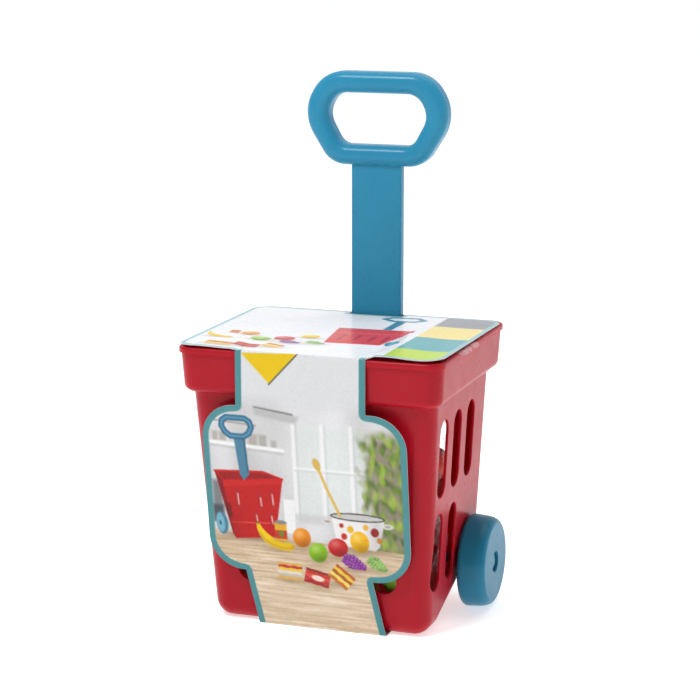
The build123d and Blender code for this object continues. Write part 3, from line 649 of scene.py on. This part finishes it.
# ---- card sleeve --------------------------------------------------------------------------
CARD = 0.7
CARD_LOW, CARD_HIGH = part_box("card_sleeve")
CARD_TOP = CARD_HIGH.z / MM  # outer face of the top panel
CARD_FRONT = CARD_LOW.y / MM  # outer face in front of the rim band
CARD_FOOT = -76.2  # outer face where the flap turns under the foot
FOOT_LEVEL = CARD_LOW.z / MM
TUCK_REAR = -22.4
CREASE = 205.0
FOLD_ROUND = 1.3
FOOT_ROUND = 1.6
STRAP_LEFT, STRAP_RIGHT = -63.0, 54.0
STRAP_SLANT = 10.0
PANEL_LEFT, PANEL_RIGHT = -95.5, 89.5
PANEL_ROUND = 31.0
PANEL_LOW, PANEL_HIGH = 50.5, 203.0
PANEL_TOP_FRONT = -102.0
LEAN = math.atan2(CARD_FOOT - CARD_FRONT, CREASE - FOOT_LEVEL)
PRINT_PITCH = 0.8


def front_span(z):
    """Left and right edges of the front flap at that height."""
    slide = STRAP_SLANT * min(1, max(0, (PANEL_LOW - z) / (PANEL_LOW - FOOT_LEVEL)))
    left, right = STRAP_LEFT + slide, STRAP_RIGHT + slide
    if PANEL_LOW <= z <= PANEL_HIGH:
        edge = min(z - PANEL_LOW, PANEL_HIGH - z) / math.cos(LEAN)
        short = max(0, PANEL_ROUND - edge)
        draw_in = PANEL_ROUND - math.sqrt(PANEL_ROUND ** 2 - short ** 2)
        left = min(left, PANEL_LEFT + draw_in)
        right = max(right, PANEL_RIGHT - draw_in)
    return left, right


def front_rows():
    """Rows of the front flap from the top panel to the tuck: y, z, and the outward direction."""
    rows = [(y, CARD_TOP, (0, 1)) for y in spread(PANEL_TOP_FRONT, CARD_FRONT + FOLD_ROUND, 0.7)]
    for turn in np.radians(np.linspace(15, 90, 6)):
        c, s = math.cos(turn), math.sin(turn)
        rows.append((CARD_FRONT + FOLD_ROUND * (1 - s), CARD_TOP - FOLD_ROUND * (1 - c), (-s, c)))
    rows += [(CARD_FRONT, z, (-1, 0)) for z in spread(CARD_TOP - FOLD_ROUND - 0.5, CREASE, PRINT_PITCH)]
    levels = list(spread(CREASE - 0.6, FOOT_LEVEL + FOOT_ROUND, PRINT_PITCH))
    near = (0.0, 0.02, 0.1, 0.25, 0.45)
    levels += [PANEL_HIGH - n for n in near] + [PANEL_HIGH + 0.02]
    levels += [PANEL_LOW + n for n in near] + [PANEL_LOW - 0.02]
    out = (-math.cos(LEAN), -math.sin(LEAN))
    for z in sorted(levels, reverse=True):
        rows.append((CARD_FRONT + (CREASE - z) * math.tan(LEAN), z, out))
    for turn in np.radians(np.linspace(25, 90, 5)):
        c, s = math.cos(turn), math.sin(turn)
        rows.append((CARD_FOOT + FOOT_ROUND * (1 - c), FOOT_LEVEL + FOOT_ROUND * (1 - s), (-c, -s)))
    rows += [(y, FOOT_LEVEL, (0, -1)) for y in spread(CARD_FOOT + 3, TUCK_REAR, 2.5)]
    return rows


def close_board(outer, inner, count, wide):
    """Faces of a closed board: a fine grid outside, one broad strip per row inside, and its edges.

    The outer points are count rows of wide points, and the inner ones two to a row.
    """
    first_inner = count * wide
    faces, kinds = [], []
    for row in range(count - 1):
        a, b = row * wide, (row + 1) * wide
        faces += [(a + i, a + i + 1, b + i + 1, b + i) for i in range(wide - 1)]
        kinds += [0] * (wide - 1)
        ia, ib = first_inner + 2 * row, first_inner + 2 * row + 2
        faces += [(ia, ib, ib + 1, ia + 1), (a, b, ib, ia), (a + wide - 1, ia + 1, ib + 1, b + wide - 1)]
        kinds += [1, 1, 1]
    last = (count - 1) * wide
    last_inner = first_inner + 2 * (count - 1)
    faces.append((*range(wide), first_inner + 1, first_inner))
    faces.append((*range(last + wide - 1, last - 1, -1), last_inner, last_inner + 1))
    return faces, kinds + [1, 1]


def board_piece(name, rows, paint, materials, spring=None):
    """A printed board from rows of (left point, right point, inward step)."""
    wide = round(max(math.dist(a, b) for a, b, _ in rows) / PRINT_PITCH) + 1
    share = np.linspace(0, 1, wide)[:, None]
    outer = np.vstack([np.array(a) + share * (np.array(b) - np.array(a)) for a, b, _ in rows])
    inner = np.array([np.array(p) + np.array(step) for a, b, step in rows for p in (a, b)])
    faces, kinds = close_board(outer, inner, len(rows), wide)
    colours = paint(outer)
    points = np.vstack((outer, inner))
    if spring:
        points[:, 2] += spring(points[:, 0], points[:, 1])
    piece = make_piece(name, points, faces, materials, "card_sleeve", kinds, 30,
                       "card_sleeve")
    layer = piece.data.color_attributes.new("inks", "FLOAT_COLOR", "POINT")
    every = np.ones((len(points), 4), np.float32)
    every[:len(colours)] = colours
    layer.data.foreach_set("color", every.ravel())


def glossy_print():
    """Coated board: the inks under a varnish with faint orange peel and rubbed patches."""
    card = Surface("glossy_print", IOR=1.45, Specular_IOR_Level=0.2, Coat_Weight=0.12,
                   Coat_Roughness=0.08)
    inks = card.node("ShaderNodeVertexColor")
    inks.layer_name = "inks"
    speck = card.node("ShaderNodeMix")
    speck.data_type = "RGBA"
    speck.blend_type = "MULTIPLY"
    speck.inputs[0].default_value = 1.0
    card.tree.links.new(inks.outputs[0], speck.inputs[6])
    tint = card.colours(card.noise(420.0, 3.0), [(0.3, grey(0.93)), (0.7, grey(1.0))])
    card.tree.links.new(tint, speck.inputs[7])
    card.paint(speck.outputs[2])
    card.wear(card.noise(30.0, 5.0), 0.22, 0.36)
    card.bump(card.noise(9.0, 1.0), 0.0011)
    card.bump(card.noise(700.0), 0.00002)
    return card.material


def grey_board():
    board = Surface("grey_board", Roughness=0.85)
    fibre = board.noise(600.0, 5.0, 0.7)
    board.mottle(fibre, (0.50, 0.48, 0.45), (0.68, 0.66, 0.62))
    board.bump(fibre, 0.00006)
    return board.material


SPRING_LEFT, SPRING_RIGHT = 1.5, 2.6
NOTCH_HALF = 25.6
NOTCH_DEEP = 85.2
PANEL_CORNER = 15.0


def top_span(x):
    """Front and rear edges of the top panel at that distance from its middle."""
    short = max(0, PANEL_CORNER - (CARD_HIGH.x / MM - abs(x)))
    draw_in = PANEL_CORNER - math.sqrt(PANEL_CORNER ** 2 - short ** 2)
    rear = NOTCH_DEEP if abs(x) < NOTCH_HALF else CARD_HIGH.y / MM - draw_in
    return PANEL_TOP_FRONT + draw_in, rear


def top_spring(x, y):
    """How far the top panel's free front edges spring up beside the strap."""
    beside = np.maximum(STRAP_LEFT - x, x - STRAP_RIGHT)
    rise = np.clip(beside / 7, 0, 1) ** 0.7 * np.where(x > 0, SPRING_RIGHT, SPRING_LEFT)
    near = np.clip((CARD_HIGH.y / MM - y) / (CARD_HIGH.y / MM - PANEL_TOP_FRONT), 0, 1)
    ripple = 1 + 0.25 * np.sin(x / 9)
    return rise * near * ripple


def make_card():
    materials = [glossy_print(), grey_board()]
    rows, edges = [], ([], [])
    for y, z, (out_y, out_z) in front_rows():
        left, right = front_span(z)
        rows.append(((left, y, z), (right, y, z), (0, -CARD * out_y, -CARD * out_z)))
        edges[0].append((left, z))
        edges[1].append((right, z))
    board_piece("card_front_flap", rows, lambda points: print_front(points, edges), materials)

    half = CARD_HIGH.x / MM
    near = (0, 0.03, 0.12, 0.3, 0.6)
    across = [half - n for n in near] + [NOTCH_HALF - 0.01, NOTCH_HALF + 0.01]
    across += [-x for x in across] + list(spread(-half + 1, half - 1, 1.0))
    rows, front, rear = [], [], []
    for x in sorted(across):
        low, high = top_span(x)
        rows.append(((x, low, CARD_TOP), (x, high, CARD_TOP), (0, 0, -CARD)))
        front.append((x, low))
        rear.append((x, high))
    outline = front + rear[::-1]
    board_piece("card_top_panel", rows, lambda points: print_top(points, outline), materials,
                top_spring)


# ---- play food ----------------------------------------------------------------------------
def node_middle(node):
    low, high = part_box(node)
    return (low + high) / 2 / MM, (high - low) / MM


def turned_form(profile, segments, lobe=lambda turn, share: 1.0):
    """Points and faces turned about Z from (radius, height) points that end on the axis."""
    rings = profile[1:-1]
    points = [(0.0, 0.0, profile[0][1])]
    for row, (radius, height) in enumerate(rings):
        for i in range(segments):
            turn = math.tau * i / segments
            far = radius * lobe(turn, (row + 1) / (len(rings) + 1))
            points.append((far * math.cos(turn), far * math.sin(turn), height))
    points.append((0.0, 0.0, profile[-1][1]))
    faces = [tuple(1 + k for k in face) for face in grid_faces(len(rings), segments, True)]
    last = 1 + (len(rings) - 1) * segments
    for i in range(segments):
        j = (i + 1) % segments
        faces += [(0, 1 + j, 1 + i), (last + i, last + j, len(points) - 1)]
    return points, faces


def join_forms(*forms):
    """One point list and face list from several, with the form that each face came from."""
    points, faces, kinds = [], [], []
    for form_points, form_faces, kind in forms:
        faces += [tuple(i + len(points) for i in face) for face in form_faces]
        kinds += [kind] * len(form_faces)
        points += form_points
    return points, faces, kinds


def moved(points, centre, tip=(0, 0, 0)):
    turn = Euler([math.radians(a) for a in tip]).to_matrix()
    return [tuple(turn @ Vector(p) + Vector(centre)) for p in points]


def fruit_profile(radius, height, dimple, steps=26):
    """A round profile from the bottom up, with a soft dimple at the top."""
    profile = []
    for i in range(steps + 1):
        turn = math.pi * i / steps
        high = -math.cos(turn) * height / 2
        sink = dimple * math.exp(-((math.pi - turn) / 0.42) ** 2)
        profile.append((radius * math.sin(turn), high - sink))
    return profile


def toy_skin(name, colour, second, pores=0.0, scale=60.0):
    """Thin blow-moulded plastic with a colour that drifts, and pores where the fruit has them."""
    skin = Surface(name, IOR=1.46, Subsurface_Weight=0.06, Subsurface_Radius=(0.004, 0.003, 0.002))
    skin.mottle(skin.noise(scale, 4.0), second, colour, (0.32, 0.6))
    skin.wear(skin.noise(160.0, 4.0), 0.24, 0.42)
    skin.bump(skin.noise(60.0, 2.0), 0.0004)
    if pores:
        skin.bump(skin.cells(700.0), pores)
    else:
        skin.bump(skin.noise(1300.0), 0.00002)
    return skin.material


def make_round_fruit():
    green_leaf = toy_skin("leaf_green", (0.05, 0.22, 0.03), (0.09, 0.32, 0.05))
    # name, slot, colours, pores, height share, dimple, lobes, lobe depth
    kinds = (
        ("orange", "orange_peel", (0.92, 0.26, 0.015), (0.98, 0.36, 0.03), 0.00022, 0.97, 2.0, 0, 0.0),
        ("green_apple", "apple_green", (0.22, 0.52, 0.02), (0.34, 0.64, 0.05), 0.0, 0.95, 5.0, 5, 0.025),
        ("tomato", "tomato_red", (0.68, 0.03, 0.015), (0.80, 0.07, 0.02), 0.0, 0.86, 3.5, 7, 0.02),
    )
    for name, slot, colour, second, pores, squat, dimple, lobes, deep in kinds:
        middle, size = node_middle(name)
        radius = size.x / 2 - 0.3
        profile = fruit_profile(radius, size.z * squat, dimple)
        body = turned_form(
            profile, 56,
            lambda turn, share: 1 - deep * (1 - math.cos(lobes * turn)) * abs(2 * share - 1),
        )
        crown = profile[-1][1]
        stalk = ((0, -1), (1.6, -1), (1.2, 2), (1.5, 3.4), (0, 3.6))
        stalk_profile = [(far, crown + high) for far, high in stalk]
        leaf_points, leaf_faces = [], []
        for i in range(5):
            turn = math.tau * i / 5 + 0.3
            reach = radius * (0.62 if name == "tomato" else 0.3)
            wide = reach * 0.2
            ring = []
            for along, half in ((0.06, 0.5), (0.35, 1.0), (0.7, 0.6), (1.0, 0.03)):
                out = reach * along
                lift = crown + dimple * (1 - math.exp(-(out / radius / 0.42) ** 2))
                lift += 0.7 - 0.5 * out * out / radius
                for side in (-1, 1):
                    across = side * half * wide
                    ring.append((out * math.cos(turn) - across * math.sin(turn),
                                 out * math.sin(turn) + across * math.cos(turn), lift + 0.5 * (side > 0)))
            start = len(leaf_points)
            leaf_points += ring + [(x, y, z - 0.7) for x, y, z in ring]
            for k in range(3):
                a, b, c, d = (start + 2 * k + n for n in (0, 1, 3, 2))
                leaf_faces += [(a, b, c, d), (a + 8, d + 8, c + 8, b + 8),
                               (a, d, d + 8, a + 8), (b, b + 8, c + 8, c)]
            leaf_faces += [(start, start + 8, start + 9, start + 1),
                           (start + 6, start + 7, start + 15, start + 14)]
        points, faces, slots = join_forms(
            (*body, 0), (*turned_form(stalk_profile, 12), 1), (leaf_points, leaf_faces, 1))
        skin = toy_skin(name + "_skin", colour, second, pores)
        make_piece(name + "_toy", moved(points, middle, (14, -10, 0)), faces,
                   [skin, green_leaf], name, slots)


def make_lemon():
    middle, size = node_middle("lemon")
    half, radius = size.x / 2 - 0.2, size.z / 2 - 0.3
    profile = [(0, -half)]
    for i in range(1, 30):
        share = -1 + 2 * i / 30
        belly = max(0, 1 - abs(share / 0.86) ** 2.4) ** 0.6
        tip = 0.17 * max(0, 1 - (abs(share) - 0.7) / 0.3) if abs(share) > 0.7 else 0.17
        profile.append((radius * max(belly, tip, 0.03), half * share))
    profile.append((0, half))
    points, faces = turned_form(profile, 44)
    skin = toy_skin("lemon_skin", (0.92, 0.62, 0.02), (0.96, 0.72, 0.06), 0.0002)
    make_piece("lemon_toy", moved(points, middle, (0, 90, 0)), faces,
               [skin], "lemon")


def make_banana():
    middle, size = node_middle("banana")
    arc, thick = 46.0, size.y / 2 - 0.4
    centre = Vector((middle.x, middle.y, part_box("banana")[1].z / MM + 14))
    steps, sides = 40, 20
    points = []
    for i in range(steps + 1):
        share = i / steps
        turn = math.radians(192 + 156 * share)
        end = min(share, 1 - share)
        girth = thick * min(1.0, 0.22 + (end / 0.17) ** 0.7 if end > 0.05 else 0.30)
        outward = Vector((math.cos(turn), 0, math.sin(turn)))
        ring = centre + outward * arc
        for k in range(sides):
            around = math.tau * k / sides
            far = girth * (1 + 0.05 * math.cos(5 * around))
            points.append(tuple(ring + outward * far * math.cos(around)
                                + Vector((0, 1, 0)) * far * math.sin(around)))
    skin = toy_skin("banana_skin", (0.93, 0.62, 0.03), (0.85, 0.66, 0.06), 0.0, 30.0)
    make_piece("banana_toy", points, tube_faces(steps + 1, sides), [skin], "banana")


def make_grapes():
    draw = random.Random(5)
    for name, slot, colour, second in (
        ("purple_grapes", "grape_purple", (0.13, 0.015, 0.16), (0.22, 0.03, 0.24)),
        ("green_grapes", "grape_green", (0.30, 0.52, 0.07), (0.42, 0.62, 0.14)),
    ):
        middle, size = node_middle(name)
        low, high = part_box(name)
        berry = 7.2
        forms = []
        levels = 4
        for level in range(levels):
            share = level / (levels - 1)
            height = low.z / MM + berry + share * (size.z - 2 * berry - 5)
            reach = (size.x / 2 - berry) * (0.35 + 0.65 * min(1, share * 1.6))
            count = (3, 6, 7, 6)[level]
            for i in range(count):
                turn = math.tau * i / count + level * 0.7
                spot = (middle.x + reach * math.cos(turn),
                        middle.y + (size.y / 2 - berry) * math.sin(turn),
                        height + draw.uniform(-0.8, 0.8))
                grape = turned_form(fruit_profile(berry, 2 * berry * 1.02, 0.5, 12), 18)
                tip = (draw.uniform(-30, 30), draw.uniform(-30, 30), 0)
                forms.append((moved(grape[0], spot, tip), grape[1], 0))
        top = high.z / MM
        stalk = ((0, 12), (1.7, 12), (1.3, 3), (1.9, 0.4), (0, 0.2))
        stalk = turned_form([(far, top - drop) for far, drop in stalk], 12)
        forms.append(([(x + middle.x, y + middle.y, z) for x, y, z in stalk[0]], stalk[1], 1))
        points, faces, slots = join_forms(*forms)
        stem = toy_skin(name + "_stalk", (0.16, 0.25, 0.05), (0.22, 0.30, 0.08))
        make_piece(name + "_toy", points, faces, [toy_skin(name + "_skin", colour, second), stem],
                   name, slots)


def make_tin():
    middle, size = node_middle("tin_can")
    radius, half = size.x / 2, size.z / 2
    profile = [(0, -half + 1.2), (radius - 2.2, -half + 1.2), (radius - 1.2, -half + 0.2),
               (radius, -half + 0.8), (radius, -half + 1.8), (radius - 0.8, -half + 2.6)]
    profile += [(radius - 0.8 + 0.25 * math.sin(i * math.pi / 2), -half + 4 + i * (2 * half - 8) / 24)
                for i in range(25)]
    profile += [(radius - 0.8, half - 2.6), (radius, half - 1.8), (radius, half - 0.8),
                (radius - 1.2, half - 0.2), (radius - 2.2, half - 1.2), (radius - 5, half - 1.6),
                (0, half - 1.6)]
    points, faces = turned_form(profile, 56)
    slots = [int(abs(np.mean([points[i][2] for i in face])) < half - 3) for face in faces]
    ends = bare_metal("tin_ends", 300.0, (0.50, 0.70), 900.0, (0.2, 0.38), 700.0)
    label = Surface("tin_label", IOR=1.5)
    split = label.node("ShaderNodeSeparateXYZ", Vector=label.place)
    low = (middle.z - half) * MM
    level = label.remap(split.outputs["Z"], low, low + size.z * MM, 0, 1)
    bands = label.colours(level, [
        (0.0, (0.62, 0.05, 0.03)), (0.22, (0.62, 0.05, 0.03)), (0.25, (0.85, 0.50, 0.04)),
        (0.60, (0.85, 0.50, 0.04)), (0.63, (0.62, 0.05, 0.03)), (0.85, (0.75, 0.10, 0.04)),
    ])
    label.paint(bands)
    label.wear(label.noise(200.0), 0.28, 0.45)
    label.bump(label.noise(900.0), 0.00003)
    make_piece("tin_can_toy", moved(points, middle), faces, [ends, label.material],
               "tin_can", slots, 25)


def rounded_slab(width, height, thick, corner, ripple):
    """A slab in the XZ plane with rounded corners and soft edges, its outline rippled."""
    arc_steps = 7
    outline = []
    for quarter, (sx, sz) in enumerate(((1, 1), (-1, 1), (-1, -1), (1, -1))):
        for i in range(arc_steps):
            turn = math.radians(90 * quarter + 90 * i / (arc_steps - 1))
            outline.append((sx * (width / 2 - corner) + corner * math.cos(turn),
                            sz * (height / 2 - corner) + corner * math.sin(turn)))
    fine = []
    for (ax, az), (bx, bz) in zip(outline, outline[1:] + outline[:1]):
        pieces = max(1, int(math.dist((ax, az), (bx, bz)) / 3))
        fine += [(ax + (bx - ax) * k / pieces, az + (bz - az) * k / pieces) for k in range(pieces)]
    soft = min(1.2, thick / 3)
    rows = [(-thick / 2, 1 - 2 * soft / width), (-thick / 2 + soft, 1), (thick / 2 - soft, 1),
            (thick / 2, 1 - 2 * soft / width)]
    points = []
    for y, grow in rows:
        for i, (x, z) in enumerate(fine):
            wave = ripple * math.sin(i * 1.1)
            points.append((x * grow, y + wave, z * grow))
    return points, tube_faces(len(rows), len(fine))


def make_sandwich():
    middle, size = node_middle("sandwich")
    crust = toy_skin("bread_crust", (0.62, 0.30, 0.09), (0.74, 0.45, 0.18), 0.0004, 90.0)
    lettuce = toy_skin("lettuce_green", (0.16, 0.42, 0.05), (0.28, 0.55, 0.09))
    cheese = toy_skin("cheese_yellow", (0.90, 0.52, 0.05), (0.94, 0.62, 0.10))
    ham = toy_skin("ham_red", (0.60, 0.10, 0.07), (0.72, 0.22, 0.16))
    layers = ((-8.6, 6.4, 0, 8, 0, 0), (-4.3, 2.0, 1, 6, 1, 0.5), (-1.6, 2.6, 2, 5, 0.5, 0.0),
              (1.2, 2.4, 3, 9, 1, 0.2), (3.9, 2.2, 1, 6, 0.5, 0.4), (8.4, 6.4, 0, 8, 0, 0))
    forms = []
    for y, thick, kind, corner, smaller, ripple in layers:
        slab = rounded_slab(size.x - 2 * smaller - 0.4, size.z - 2 * smaller - 0.4, thick, corner, ripple)
        forms.append(([(px, py + y, pz) for px, py, pz in slab[0]], slab[1], kind))
    points, faces, slots = join_forms(*forms)
    make_piece("sandwich_toy", moved(points, middle), faces, [crust, lettuce, cheese, ham],
               "sandwich", slots, 50)


def make_packets():
    """The flat filled packets: a pillow body between two crimped ends."""
    for name, slot, colour, second in (
        ("snack_box", "snack_red", (0.55, 0.025, 0.02), (0.68, 0.08, 0.04)),
        ("wafer_pack", "wafer_wrap", (0.86, 0.52, 0.08), (0.62, 0.22, 0.05)),
    ):
        middle, size = node_middle(name)
        columns, rows = 36, 20
        points = []
        for side in (-1, 1):
            for r in range(rows + 1):
                v = -1 + 2 * r / rows
                for c in range(columns + 1):
                    u = -1 + 2 * c / columns
                    body = max(0, 1 - abs(u / 0.86) ** 6) * max(0, 1 - abs(v) ** 6)
                    crimp = 0.35 * math.sin(c * 1.6) if abs(u) > 0.86 else 0.0
                    pucker = 0.5 * math.sin(v * 26 + u * 3) * (1 - body) * (abs(u) > 0.7)
                    y = side * (0.5 + body * (size.y / 2 - 0.6)) + crimp + pucker * 0.3
                    points.append((u * size.x / 2, y, v * (size.z / 2 - 0.2)))
        wide = columns + 1
        base = wide * (rows + 1)
        faces = grid_faces(rows + 1, wide)
        faces += [tuple(base + i for i in (a, d, c, b)) for a, b, c, d in faces]
        rim = [*range(wide), *(r * wide + columns for r in range(1, rows + 1))]
        rim += [rows * wide + c for c in range(columns - 1, -1, -1)]
        rim += [r * wide for r in range(rows - 1, 0, -1)]
        faces += [(a, b, base + b, base + a) for a, b in zip(rim, rim[1:] + rim[:1])]
        wrap = Surface(name + "_wrap", IOR=1.5, Coat_Weight=0.4, Coat_Roughness=0.15)
        stripes = wrap.noise(45.0, 1.0, 0.4, wrap.stretch(0.4, 1, 2.2))
        edges = ((0.44, colour), (0.47, second), (0.56, second), (0.59, colour))
        wrap.paint(wrap.colours(stripes, edges))
        wrap.wear(wrap.noise(120.0), 0.2, 0.4)
        wrap.bump(wrap.noise(90.0, 3.0), 0.0007)
        make_piece(name + "_toy", moved(points, middle), faces, [wrap.material], name)


# ---- clear bag ----------------------------------------------------------------------------
def clear_film():
    """Thin crinkled film: see-through face on, with bright glints where it turns away, partly real gloss and
    partly its near-white colour as painted sheen.
    """
    film = Surface("clear_film_crinkled", IOR=1.5)
    # near-white film colour, shown more where the film turns away: painted sheen
    film.mottle(film.noise(70.0), (0.86, 0.87, 0.88), grey(0.97))
    film.wear(film.noise(200.0), 0.06, 0.20)
    film.bump(film.cells(55.0), 0.0024)
    film.bump(film.noise(190.0, 3.0, 0.6), 0.0010)
    clear = film.node("ShaderNodeBsdfTransparent")
    mix = film.node("ShaderNodeMixShader")
    facing = film.node("ShaderNodeLayerWeight", Blend=0.45, Normal=film.bumps)
    # share of white film shown, rising as the film turns away: painted sheen
    sheen_share = film.remap(facing.outputs["Facing"], 0.35, 1.0, 0.01, 0.42)
    output = next(n for n in film.tree.nodes if n.type == "OUTPUT_MATERIAL")
    for source, socket in (
        (sheen_share, mix.inputs[0]), (clear.outputs[0], mix.inputs[1]),
        (film.shader.outputs[0], mix.inputs[2]), (mix.outputs[0], output.inputs["Surface"]),
    ):
        film.tree.links.new(source, socket)
    return film.material


def crumple(point, deep):
    """How far a point of the film is pushed in: folded ridges at three sizes."""
    p = Vector(point)
    ridges = abs(noise.noise(p / 34)) + 0.5 * abs(noise.noise(p / 14 + Vector((7, 0, 0))))
    return deep * (ridges + 0.22 * abs(noise.noise(p / 6)))


def make_bag():
    """A full bag that fills the front of the basket, gathered at its top."""
    low, high = (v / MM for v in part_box("food_bag"))
    sides, rows = 150, 74
    corner = 20.0
    flare = 8.6  # how much wider the bag is at each side at its top than at its foot
    front_slope = 19.0  # and how much further its top reaches forward
    skin_gap = 1.2  # the film lies this far inside its space
    crumple_deep = 9.0
    gather_from, gather_in = 0.86, 0.6  # where the top starts to draw in, and by what share
    foot_to, foot_in = 0.05, 0.2  # and the same for the foot
    points = []
    for row in range(rows + 1):
        up = row / rows
        z = low.z + 1.5 + up * (high.z - low.z - 3)
        level = (z - low.z) / (high.z - low.z)
        half = high.x - skin_gap - flare * (1 - level)
        front = low.y + skin_gap + front_slope * (1 - level)
        rear = high.y - skin_gap
        shoulder = max(0, (up - gather_from) / (1 - gather_from))
        foot = max(0, (foot_to - up) / foot_to)
        shrink = 1 - gather_in * shoulder ** 2 - foot_in * foot ** 2
        middle_y, half_y = (front + rear) / 2, (rear - front) / 2
        for i in range(sides):
            turn = math.tau * i / sides
            c, s = math.cos(turn), math.sin(turn)
            boxy = (abs(c) ** 7 + abs(s) ** 7) ** (-1 / 7)
            spot = Vector((half * c * boxy * shrink, middle_y + half_y * s * boxy * shrink, z))
            inward = Vector((-c, -s, 0))
            spot += inward * crumple(spot, crumple_deep)
            points.append(tuple(spot))
    film = clear_film()
    make_piece("clear_bag", points, tube_faces(rows + 1, sides), [film], "food_bag",
               sharp=60)
    make_bag_edge(film)


def make_bag_edge(film):
    """The bag's loose edge, up the right wall and out between the rim and the card."""
    rim_top = 250.0
    fin = []
    path = [(96, 190), (104, 222), (110, 240), (115, 249.6), (118, 250.25), (120.6, 250.2),
            (122.4, 249.4), (123.6, 247.6)]
    across = list(spread(-52, 2, 1.5))
    for step, (x, z) in enumerate(path):
        for y in across:
            free = abs(z - rim_top) > 2
            wave = noise.noise(Vector((x, y * 2, z)) / 9)
            nudge = 2.2 * wave if free else 0.12 * wave
            lift = 0.0 if step in (3, 4) else 0.8 * noise.noise(Vector((y * 3, x, z)) / 7)
            fin.append((x + nudge * (step != 4), y, min(z + lift, rim_top + 0.35)))
    make_piece("bag_edge", fin, grid_faces(len(path), len(across)), [film], "food_bag")


def make_food():
    make_round_fruit()
    make_lemon()
    make_banana()
    make_grapes()
    make_tin()
    make_sandwich()
    make_packets()


make_camera()
make_studio()
dress_cad()
make_card()
make_food()
make_bag()
